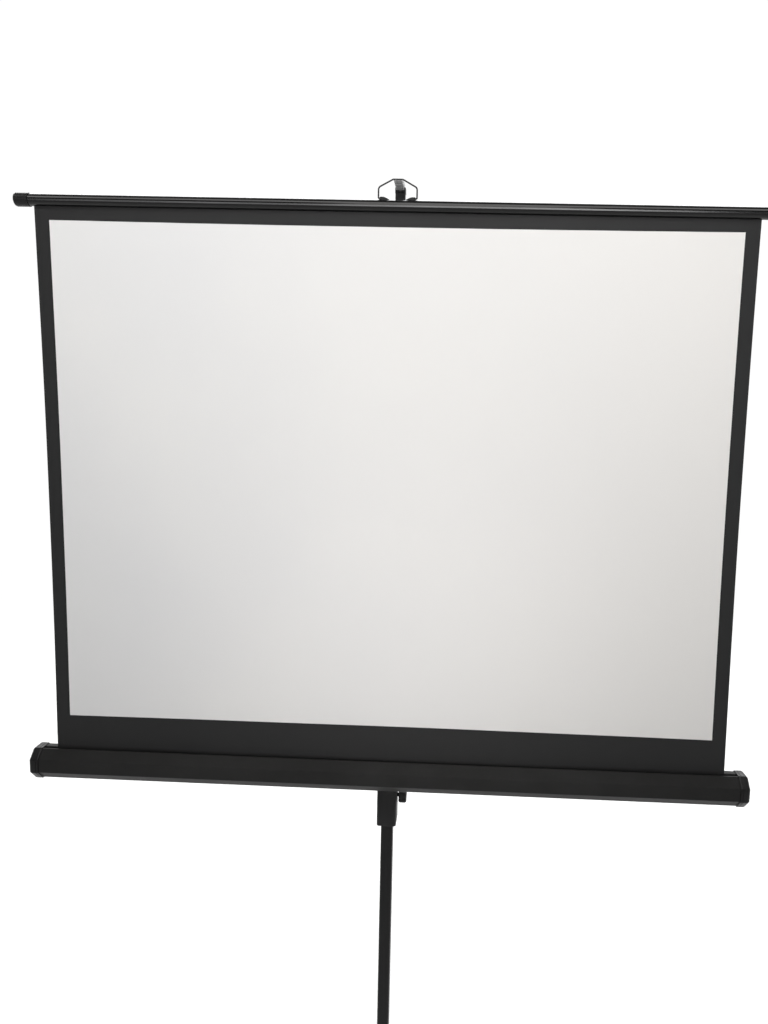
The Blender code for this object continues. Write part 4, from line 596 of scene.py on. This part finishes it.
def make_sheet():
    """The viewing sheet from the case's axis up to the bead in the slat: white, border and backing."""
    white, border, backing = range(3)
    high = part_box("screen_fabric")[1]
    bead_z = high.z - BEAD_RADIUS
    top = bead_z - BEAD_RADIUS * BEAD_NECK
    profile = [(z, THICKNESS / 2) for z in sheet_levels(top)]
    for k in range(BEAD_POINTS):
        turn = radians(BEAD_START + BEAD_STEP * k)
        profile.append((bead_z + BEAD_RADIUS * sin(turn), BEAD_RADIUS * cos(turn)))
    columns = sheet_columns()
    mesh = bmesh.new()
    front, rear = [sheet_rows(mesh, profile, columns, top, face) for face in (-1, 1)]
    for rows in (front, rear):
        for k, (a, b) in enumerate(zip(rows, rows[1:])):
            z = (profile[k][0] + profile[k + 1][0]) / 2
            for i in range(len(columns) - 1):
                share = (columns[i] + columns[i + 1]) / 2
                in_picture = abs(share) < EDGE and WHITE_LOW < z < WHITE_HIGH
                made = mesh.faces.new((a[i], a[i + 1], b[i + 1], b[i]))
                made.material_index = backing if rows is rear else (white if in_picture else border)
    for k in (0, -1):
        for i in range(len(columns) - 1):
            made = mesh.faces.new((front[k][i], front[k][i + 1], rear[k][i + 1], rear[k][i]))
            made.material_index = border
    for i in (0, -1):
        for k in range(len(profile) - 1):
            made = mesh.faces.new((front[k][i], front[k + 1][i], rear[k + 1][i], rear[k][i]))
            made.material_index = border
    sheet = from_bmesh("screen_sheet", mesh, 60.0)
    for look in (WHITE, BORDER, BACKING):
        sheet.data.materials.append(look)
    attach(sheet, "case")
    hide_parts("screen_fabric")
    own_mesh(sheet)


# The turns that stay on the roller
SAFETY_TURNS, TURN_STEPS = 2.5, 44
ROLL_GAP = 0.0003
ROLL_FILL = 0.86


def make_roll():
    """The safety turns that stay on the roller, as one wound strip."""
    low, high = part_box("fabric_roll")
    width = high.x - low.x
    outer = half_height("fabric_roll")
    core = half_height("roller_tube") + ROLL_GAP
    pitch = (outer - core) / SAFETY_TURNS
    half = pitch * ROLL_FILL / 2
    path = []
    for i in range(int(SAFETY_TURNS * TURN_STEPS) + 1):
        radius = min(core + half + pitch * i / TURN_STEPS, outer - half)
        path.append((radius, 2 * pi * i / TURN_STEPS))
    front = [((radius + half) * cos(a), (radius + half) * sin(a)) for radius, a in path]
    back = [((radius - half) * cos(a), (radius - half) * sin(a)) for radius, a in path]
    strip = bar(front + back[::-1], -width / 2, width / 2)
    place = placing((SHEET_X, ROLLER_Y, CASE_Z), RIGHT, UP)
    roll = from_bmesh("screen_roll", placed(strip, place), 30.0)
    roll.data.materials.append(BORDER)
    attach(roll, "roller")
    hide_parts("fabric_roll")


# The bail: its ends turn in the ears above the slat, and it leans back to its seat on the arm
BAIL_AXIS = SLAT_RADIUS + 0.0026
BAIL_LEAN = radians(1.5)
BAIL_TIP, BAIL_HALF, BAIL_TOP_HALF = 0.0217, 0.0350, 0.0090
BAIL_SHOULDER, BAIL_TOP = 0.0195, 0.0337
BAIL_BENDS = (0.0020, 0.0065, 0.0045)
WIRE_RADIUS, WIRE_SIDES = 0.00145, 14
WIRE_SEAT = 0.00165
BAIL_PLACE = Matrix.Translation((0, SHEET_Y, SLAT_Z + BAIL_AXIS))
BAIL_SEAT = BAIL_AXIS + BAIL_TOP * cos(BAIL_LEAN) - WIRE_SEAT
SLAT_PLACE = Matrix.Translation((0, SHEET_Y, SLAT_Z))

# The ears: how far along one is, with its height and its width there as shares of the most
EAR_INNER, EAR_OUTER = 0.0150, 0.0332
EAR_HALF, EAR_HEIGHT = 0.0054, 0.0058
EAR_STATIONS = (
    (0.0, 0.55, 0.72), (0.03, 0.80, 0.88), (0.10, 0.95, 0.97), (0.20, 1.0, 1.0), (0.40, 0.98, 1.0),
    (0.55, 0.86, 0.98), (0.70, 0.64, 0.94), (0.84, 0.40, 0.88), (0.95, 0.22, 0.80), (1.0, 0.10, 0.74),
)
EAR_FULLNESS = 0.7
EAR_DOME_STEPS, EAR_SEAT_STEPS = 12, 6
EAR_SEAT = SLAT_RADIUS + 0.0001
EAR_BORE_START, EAR_BORE_END = 0.0196, 0.0360
EAR_BORE = WIRE_RADIUS + 0.0003


def on_slat(y):
    """The height of an ear's seat above the slat's axis."""
    return sqrt(EAR_SEAT ** 2 - y ** 2)


def ear_section(x, half, height):
    """A dome on the slat's round top."""
    section = []
    for k in range(EAR_DOME_STEPS + 1):
        a = pi * k / EAR_DOME_STEPS
        y = half * cos(a)
        section.append((x, y, on_slat(y) + height * sin(a) ** EAR_FULLNESS))
    for k in range(1, EAR_SEAT_STEPS):
        y = -half + 2 * half * k / EAR_SEAT_STEPS
        section.append((x, y, on_slat(y)))
    return section


def make_ears():
    """The domed ears that hold the bail: high where the wire enters, and sloping down inwards."""
    for node, side in (("bail_ear_left", -1), ("bail_ear_right", 1)):
        rings = []
        for share, height, width in EAR_STATIONS:
            x = side * (EAR_OUTER + (EAR_INNER - EAR_OUTER) * share)
            rings.append(ear_section(x, EAR_HALF * width, EAR_HEIGHT * height))
        ear = from_bmesh(node + "_domed", placed(loft(rings), SLAT_PLACE))
        bore = rod(EAR_BORE, EAR_BORE_START, EAR_BORE_END, steps=20)
        carve(ear, [placed(bore, BAIL_PLACE @ placing((0, 0, 0), RIGHT * side, UP))], 50.0)
        dress(ear, SATIN, "slat", node)


def make_wire():
    """The bail as one bent wire with soft bends."""
    right = [(BAIL_TIP, 0, 0), (BAIL_HALF, 0, 0), (BAIL_HALF, 0, BAIL_SHOULDER), (BAIL_TOP_HALF, 0, BAIL_TOP)]
    left = [(-x, y, z) for x, y, z in right]
    path = filleted(left + right[::-1], BAIL_BENDS + BAIL_BENDS[::-1])
    rings = []
    for i, point in enumerate(path):
        run = (path[min(i + 1, len(path) - 1)] - path[max(i - 1, 0)]).normalized()
        side = run.cross(BACK).normalized()
        rings.append([point + (side * x + BACK * y) for x, y in ring(WIRE_RADIUS, WIRE_SIDES)])
    place = BAIL_PLACE @ Matrix.Rotation(-BAIL_LEAN, 4, "X")
    wire = from_bmesh("bail_wire_bent", placed(loft(rings), place), 60.0)
    dress(wire, WIRE, "bail", "bail_wire")


# The arm that holds the bail: steps on top, each with a riser that leans back, and grooves below
ARM_HALF = 0.0075
ARM_STEPS, ARM_RUN, ARM_RISE = 6, 0.0105, 0.0022
RISER_LEAN, RISER_BEND, RISER_SOFT = 0.0009, 0.0005, 0.0003
NOSE_DROP, NOSE_SOFT = 0.0010, 0.0004
CHIN_LENGTH, CHIN_RISE = 0.0010, 0.0006
ARM_SKIN = 0.0014
REAR_ROUND, REAR_BEND, REAR_DEPTH = 0.0028, 0.0008, 0.0085
PLUG_GAP = 0.0016
GROOVES, GROOVE_FIRST, GROOVE_PITCH = 5, 0.0062, 0.0098
GROOVE_WIDTH, GROOVE_DEPTH, GROOVE_DRAFT = 0.0046, 0.0020, 0.0004
ARM_EDGE = 0.00022


def arm_outline():
    """The arm's side view: the steps, the rear that sits on the plug, and the grooves of the underside."""
    low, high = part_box("hook_arm")
    nose, rear, top = low.y - SHEET_Y, high.y - SHEET_Y, high.z - SLAT_Z
    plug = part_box("pole_plug")[0].y - SHEET_Y - PLUG_GAP
    first_riser = BAIL_TOP * sin(BAIL_LEAN) + WIRE_SEAT
    under = BAIL_SEAT - ARM_SKIN
    outline = [(nose, BAIL_SEAT - NOSE_DROP), (nose + NOSE_SOFT, BAIL_SEAT)]
    for k in range(ARM_STEPS):
        y, z = first_riser + k * ARM_RUN, BAIL_SEAT + k * ARM_RISE
        outline += [(y, z), (y + RISER_BEND, z + ARM_RISE - RISER_SOFT), (y + RISER_LEAN, z + ARM_RISE)]
    outline += [(rear - REAR_ROUND, top), (rear - REAR_BEND, top - REAR_BEND), (rear, top - REAR_ROUND)]
    outline += [(rear, top - REAR_DEPTH), (plug, top - REAR_DEPTH), (plug, under)]
    for k in reversed(range(GROOVES)):
        start = nose + GROOVE_FIRST + k * GROOVE_PITCH
        end = start + GROOVE_WIDTH
        roof = under + GROOVE_DEPTH
        outline += [(end, under), (end - GROOVE_DRAFT, roof), (start + GROOVE_DRAFT, roof), (start, under)]
    return outline + [(nose + CHIN_LENGTH, under), (nose, under + CHIN_RISE)]


def make_arm():
    """The stepped arm that holds the bail, with cross grooves in its underside."""
    rings = [[(x, y, z) for y, z in arm_outline()] for x in (-ARM_HALF, ARM_HALF)]
    arm = from_bmesh("hook_arm_stepped", placed(loft(rings), SLAT_PLACE))
    soft = arm.modifiers.new("edge", "BEVEL")
    soft.width = ARM_EDGE
    soft.segments = 2
    soft.limit_method = "ANGLE"
    soft.angle_limit = radians(40)
    apply_modifiers(arm)
    soften(arm, 50.0)
    dress(arm, GREY, "pole", "hook_arm")


# The case's end caps: depths are from the outer face, and insets from the octagon's flats
CAP_HALF, CAP_LENGTH = 0.03175, 0.0190
CAP_LIP, CAP_LIP_INSET = 0.0005, 0.0003
CAP_GROOVE_START, CAP_GROOVE_END = 0.0140, 0.0152
CAP_GROOVE_DEPTH, CAP_GROOVE_SLOPE = 0.0007, 0.0002
CAP_ROUND_DEPTH, CAP_ROUND_INSET = 0.0075, 0.0062
CAP_ROUND_TURNS = range(0, 91, 15)
CAP_WALL = 0.0042
SHAFT_RADIUS, PIN_RADIUS, SOCKET_PLAY = 0.0040, 0.0030, 0.0004
CAP_SCREW_RISE, CAP_SCREW_HOLE, CAP_SCREW_DEPTH = 0.018, 0.0022, 0.0115
CUT_OVERRUN = 0.002


def cap_levels():
    """Depth and inset of each ring of a cap: the lip, the groove behind the rim and the rounded end."""
    levels = [(CAP_LENGTH, CAP_LIP_INSET), (CAP_LENGTH - CAP_LIP, 0.0), (CAP_GROOVE_END, 0.0)]
    levels += [(CAP_GROOVE_END - CAP_GROOVE_SLOPE, CAP_GROOVE_DEPTH)]
    levels += [(CAP_GROOVE_START + CAP_GROOVE_SLOPE, CAP_GROOVE_DEPTH), (CAP_GROOVE_START, 0.0)]
    for turn in CAP_ROUND_TURNS:
        a = radians(turn)
        levels.append((CAP_ROUND_DEPTH * (1 - sin(a)), CAP_ROUND_INSET * (1 - cos(a))))
    return levels


def make_case_caps():
    """The case's end caps: a groove behind the rim, and a well rounded end."""
    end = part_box("case_cap_right")[1].x
    for node, side, shaft in (("case_cap_left", -1, SHAFT_RADIUS), ("case_cap_right", 1, PIN_RADIUS)):
        outwards = Matrix(((0, 0, side, 0), (1, 0, 0, CASE_Y), (0, 1, 0, CASE_Z), (0, 0, 0, 1)))
        rings = []
        for depth, inset in cap_levels():
            rings.append([(x, y, end - depth) for x, y in octagon_outline(CAP_HALF - inset)])
        cap = from_bmesh(node + "_rounded", placed(loft(rings), outwards))
        socket = rod(shaft + SOCKET_PLAY, end - CAP_LENGTH - CUT_OVERRUN, end - CAP_WALL)
        cutters = [placed(socket, outwards @ Matrix.Translation((ROLLER_Y - CASE_Y, 0, 0)))]
        for z in (-CAP_SCREW_RISE, CAP_SCREW_RISE):
            hole = rod(CAP_SCREW_HOLE, end - CAP_SCREW_DEPTH, end + CUT_OVERRUN)
            cutters.append(placed(hole, outwards @ Matrix.Translation((0, z, 0))))
        carve(cap, cutters)
        dress(cap, CAP_PLASTIC, "case", node)


# The carrier: a sleeve around the column, and a neck from its front up to the case's pivot
SLEEVE_LOW, SLEEVE_HIGH = 1.0392, 1.1492
SLEEVE_WIDTH, SLEEVE_CORNER = 0.040, 0.005
SLEEVE_BORE, SLEEVE_BORE_CORNER = 0.026, 0.0038
SLEEVE_ROUND = ((0.0016, 0.0), (0.0005, 0.0005), (0.0, 0.0016))
STUD_HOLE, STUD_START, STUD_END = 0.0043, 0.0100, 0.0300
NECK_RADIUS, NECK_STEPS = 0.021, 24
NECK_FOOT_HALF, NECK_WAIST, NECK_SINK = 0.0165, 0.001, 0.006
NECK_FRONT, NECK_REAR = 0.0004, 0.0129
BOLT_HOLE, BOLT_WELL, BOLT_WELL_START = 0.0043, 0.0078, 0.0076
BOLT_CUT_END = 0.016


def make_sleeve(low, high):
    """The sleeve that slides on the column, with a square bore and the hole of the clamp's stud."""
    centre = (0, (low.y + high.y) / 2)
    levels = [(inset, SLEEVE_LOW + rise) for inset, rise in SLEEVE_ROUND]
    levels += [(inset, SLEEVE_HIGH - rise) for inset, rise in reversed(SLEEVE_ROUND)]
    rings = []
    for inset, z in levels:
        width, depth = SLEEVE_WIDTH - 2 * inset, high.y - low.y - 2 * inset
        rings.append([(x, y, z) for x, y in box_outline(width, depth, SLEEVE_CORNER, centre)])
    bore = box_outline(SLEEVE_BORE, SLEEVE_BORE, SLEEVE_BORE_CORNER, (0, COLUMN_Y))
    rings += [[(x, y, z) for x, y in bore] for z in (SLEEVE_HIGH, SLEEVE_LOW)]
    sleeve = from_bmesh("case_carrier_sleeve", loft(rings, closed=True))
    stud = rod(STUD_HOLE, STUD_START, STUD_END)
    carve(sleeve, [placed(stud, placing((0, COLUMN_Y, KNOB_Z), RIGHT, UP))])
    dress(sleeve, PLASTIC, "case", "case_carrier")


def make_neck(low):
    """The neck: a plate with a round head about the case's pivot, narrower at its foot in the sleeve."""
    foot = SLEEVE_HIGH - CASE_Z
    outline = [(x, -y) for x, y in ring(NECK_RADIUS, 2 * NECK_STEPS)[:NECK_STEPS + 1]]
    outline += [(-NECK_FOOT_HALF, -foot - NECK_WAIST), (-NECK_FOOT_HALF, -foot + NECK_SINK)]
    outline += [(NECK_FOOT_HALF, -foot + NECK_SINK), (NECK_FOOT_HALF, -foot - NECK_WAIST)]
    facing = placing((0, low.y, CASE_Z), BACK, RIGHT)
    neck = from_bmesh("case_carrier_neck", placed(bar(outline, NECK_FRONT, NECK_REAR), facing))
    bolt = rod(BOLT_HOLE, -CUT_OVERRUN, BOLT_CUT_END)
    well = rod(BOLT_WELL, BOLT_WELL_START, BOLT_CUT_END)
    carve(neck, [placed(bolt, facing), placed(well, facing)], 30.0)
    dress(neck, PLASTIC, "case", "case_carrier")


def make_carrier():
    """The sleeve on the column, with a neck that rises past the collar to the case's pivot."""
    low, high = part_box("case_carrier")
    make_sleeve(low, high)
    make_neck(low)


# The screws: node, way out, body, height of the head, look and slot
SCREWS = (
    ("case_cap_screw_1", -RIGHT, "case", 0.0012, DARK, "dark_screws"),
    ("case_cap_screw_2", -RIGHT, "case", 0.0012, DARK, "dark_screws"),
    ("case_cap_screw_3", RIGHT, "case", 0.0012, DARK, "dark_screws"),
    ("case_cap_screw_4", RIGHT, "case", 0.0012, DARK, "dark_screws"),
    ("handle_screw_1", BACK, "case", 0.0016, DARK, "dark_screws"),
    ("handle_screw_2", BACK, "case", 0.0016, DARK, "dark_screws"),
    ("hook_screw", -BACK, "pole", 0.0010, DARK, "dark_screws"),
    ("hub_screw", BACK, "stand", 0.0012, ZINC, "zinc_steel"),
)

# Shares of the head's radius and height: the shaft, its tip, the head's crown and the cross recess
SCREW_SHAFT, SCREW_TIP, SCREW_POINT = 0.47, 0.7, 0.5
SCREW_CROWN = ((1.0, 1.0), (1.0, 0.62), (0.92, 0.28), (0.72, 0.08))
CROSS_LENGTH, CROSS_WIDTH, CROSS_DEPTH = 0.56, 0.13, 0.75
SCREW_TURN, SCREW_TURN_STEP = 0.4, 1.1
SCREW_SIDES = 32


def screw_profile(length, radius, rise):
    """Half a pan-head screw's section, from its tip to the top of its head."""
    shaft = radius * SCREW_SHAFT
    profile = [(0, -length), (shaft * SCREW_TIP, -length), (shaft, -length + shaft * SCREW_POINT)]
    profile.append((shaft, -rise))
    profile += [(radius * width, -rise * depth) for width, depth in SCREW_CROWN]
    return profile + [(0, 0)]


def make_screws():
    """Pan-head screws with a cross recess, turned each by its own amount."""
    for number, (node, out, body, rise, look, slot) in enumerate(SCREWS):
        low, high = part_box(node)
        size = high - low
        length, radius = abs(size.dot(out)), size.z / 2
        turn = Matrix.Rotation(SCREW_TURN + SCREW_TURN_STEP * number, 4, "Z")
        place = placing((low + high) / 2 + out * length / 2, out, UP) @ turn
        mesh = placed(turned(screw_profile(length, radius, rise), SCREW_SIDES), place)
        screw = from_bmesh(node + "_cross", mesh)
        long, thin, sink = radius * CROSS_LENGTH, radius * CROSS_WIDTH, rise * CROSS_DEPTH
        slots = []
        for a, b in ((long, thin), (thin, long)):
            slots.append(placed(bar([(-a, -b), (a, -b), (a, b), (-a, b)], -sink, rise), place))
        carve(screw, slots, 35.0)
        dress(screw, look, body, node)


make_sheet()
make_roll()
make_ears()
make_wire()
make_arm()
make_case_caps()
make_carrier()
make_screws()


# Stage, light and camera

# The studio's brightness: grey in front of the screen, white behind it, and dim overhead
FRONT_TONE, BACK_TONE, ZENITH_TONE = 0.22, 1.02, 0.25
FRONT_END, BACK_START = -0.6, 0.5
ZENITH_START, ZENITH_END = 0.50, 0.90
FLOOR_RADIUS, FLOOR_SIDES = 60.0, 96
FLOOR_FADE_START, FLOOR_FADE_END = 3.5, 8.5

# The camera: in pixels of the image, in metres from the picture's middle, and turned about X, Y and Z
IMAGE_HEIGHT, FOCAL_LENGTH, IMAGE_SHIFT = 1024.0, 769.0, -45.0
SENSOR_HEIGHT = 36.0
CAMERA_PLACE = Vector((0.1215, -1.4486, 0.1346))
CAMERA_TURN = Euler((radians(82.91), radians(-1.534), radians(1.989)))

WARM, WARMER = (1.0, 0.985, 0.97), (1.0, 0.97, 0.95)


def graded(tree, value, low, high, start, end):
    """A smooth step from start to end as the value goes from low to high."""
    step = tree.nodes.new("ShaderNodeMapRange")
    step.interpolation_type = "SMOOTHSTEP"
    for name, number in zip(("From Min", "From Max", "To Min", "To Max"), (low, high, start, end)):
        step.inputs[name].default_value = number
    tree.links.new(value, step.inputs["Value"])
    return step.outputs["Result"]


def split(tree, way):
    """The three coordinates of a vector."""
    made = tree.nodes.new("ShaderNodeSeparateXYZ")
    tree.links.new(way, made.inputs[0])
    return made.outputs


def backdrop_tone(tree, depth):
    """The studio's brightness towards a unit vector, from how far that points back."""
    return graded(tree, depth, FRONT_END, BACK_START, FRONT_TONE, BACK_TONE)


def make_floor():
    """A pale floor that turns into the backdrop with distance: its far part glows, painted light as bright as
    the studio's light in that direction.
    """
    skin = Skin("floor_pale")
    skin.colour(skin.mix(skin.fade(skin.noise(scale=1.3)), (0.80, 0.80, 0.80), (0.83, 0.83, 0.828)))
    skin.rough(skin.fade(skin.noise(scale=40.0, detail=3.0), 0.7, 0.8))
    skin.set(Specular_IOR_Level=0.2)
    way = skin.add("ShaderNodeVectorMath", operation="NORMALIZE")
    skin.put(way.inputs[0], skin.place)
    # Painted light: the far floor glows with the studio's brightness towards it, though it is no lamp.
    glow = skin.add("ShaderNodeEmission")
    skin.put(glow.inputs["Strength"], backdrop_tone(skin.tree, split(skin.tree, way.outputs[0])[1]))
    distance = skin.add("ShaderNodeVectorMath", operation="LENGTH")
    skin.put(distance.inputs[0], skin.place)
    far = graded(skin.tree, distance.outputs["Value"], FLOOR_FADE_START, FLOOR_FADE_END, 0.0, 1.0)
    blend = skin.add("ShaderNodeMixShader")
    skin.put(blend.inputs[0], far)
    skin.put(blend.inputs[1], skin.shader.outputs[0])
    skin.put(blend.inputs[2], glow.outputs[0])
    skin.put(skin.tree.nodes["Material Output"].inputs["Surface"], blend.outputs[0])
    mesh = bmesh.new()
    mesh.faces.new([mesh.verts.new((x, y, 0)) for x, y in ring(FLOOR_RADIUS, FLOOR_SIDES)])
    floor = from_bmesh("studio_floor", mesh)
    floor.data.materials.append(skin.material)


def make_world():
    """A soft dome of light."""
    world = bpy.data.worlds.new("studio")
    bpy.context.scene.world = world
    world.use_nodes = True
    tree = world.node_tree
    _, depth, height = split(tree, tree.nodes.new("ShaderNodeTexCoord").outputs["Generated"])
    product = tree.nodes.new("ShaderNodeMath")
    product.operation = "MULTIPLY"
    tree.links.new(backdrop_tone(tree, depth), product.inputs[0])
    tree.links.new(graded(tree, height, ZENITH_START, ZENITH_END, 1.0, ZENITH_TONE), product.inputs[1])
    backdrop = tree.nodes["Background"]
    backdrop.inputs["Color"].default_value = (1.0, 1.0, 1.0, 1.0)
    tree.links.new(product.outputs[0], backdrop.inputs["Strength"])


def light(name, place, aim, size, power, colour=(1, 1, 1), spread=180.0):
    """A rectangular lamp that the camera doesn't see, with its spread in degrees."""
    data = bpy.data.lights.new(name, "AREA")
    data.shape = "RECTANGLE"
    data.size, data.size_y = size
    data.energy = power
    data.color = colour
    data.spread = radians(spread)
    lamp = bpy.data.objects.new(name, data)
    bpy.context.scene.collection.objects.link(lamp)
    lamp.visible_camera = False
    direction = Vector(aim) - Vector(place)
    lamp.matrix_world = Matrix.Translation(place) @ direction.to_track_quat("-Z", "Y").to_matrix().to_4x4()


def make_lights():
    """Lamps above, strips in front for the slat's gleam, a pool on the picture, and a wide lamp behind."""
    light("overhead", (0.05, -0.85, 3.25), (0.05, -0.45, 1.2), size=(3.2, 0.5), power=19.4, colour=WARM)
    light("near", (0.1, -1.5, 3.0), (0.1, -0.2, 1.9), size=(0.9, 0.4), power=5.0, colour=WARM)
    light("strip_left", (-2.1, -5.0, 2.0), (-0.45, 0.1, 2.25), size=(2.2, 0.9), power=1.0, spread=32.0)
    light("strip_middle", (-0.5, -5.0, 2.0), (-0.1, 0.1, 2.25), size=(1.0, 0.9), power=0.85, spread=32.0)
    light("strip_right", (1.0, -5.0, 2.0), (0.35, 0.1, 2.25), size=(2.0, 0.9), power=2.4, spread=32.0)
    light("pool", (0.3, -3.2, 1.2), (0.02, 0.1, 1.42), size=(0.35, 0.5), power=0.26, colour=WARMER,
          spread=20.0)
    light("behind", (0.0, 4.0, 5.0), (0.0, 3.0, 0.0), size=(9.0, 5.0), power=560.0)


def make_camera():
    """The camera, a little right of the picture's middle and looking slightly down."""
    data = bpy.data.cameras.new("camera")
    data.sensor_fit = "VERTICAL"
    data.sensor_height = SENSOR_HEIGHT
    data.lens = SENSOR_HEIGHT * FOCAL_LENGTH / IMAGE_HEIGHT
    data.shift_x = IMAGE_SHIFT / IMAGE_HEIGHT
    data.clip_end = 200.0
    camera = bpy.data.objects.new("camera", data)
    bpy.context.scene.collection.objects.link(camera)
    spot = Vector((SHEET_X, SHEET_Y, WHITE_MIDDLE)) + CAMERA_PLACE
    camera.matrix_world = Matrix.Translation(spot) @ CAMERA_TURN.to_matrix().to_4x4()
    bpy.context.scene.camera = camera


make_floor()
make_world()
make_lights()
make_camera()

scene = bpy.context.scene
scene.view_settings.view_transform = "Standard"
scene.view_settings.look = "None"
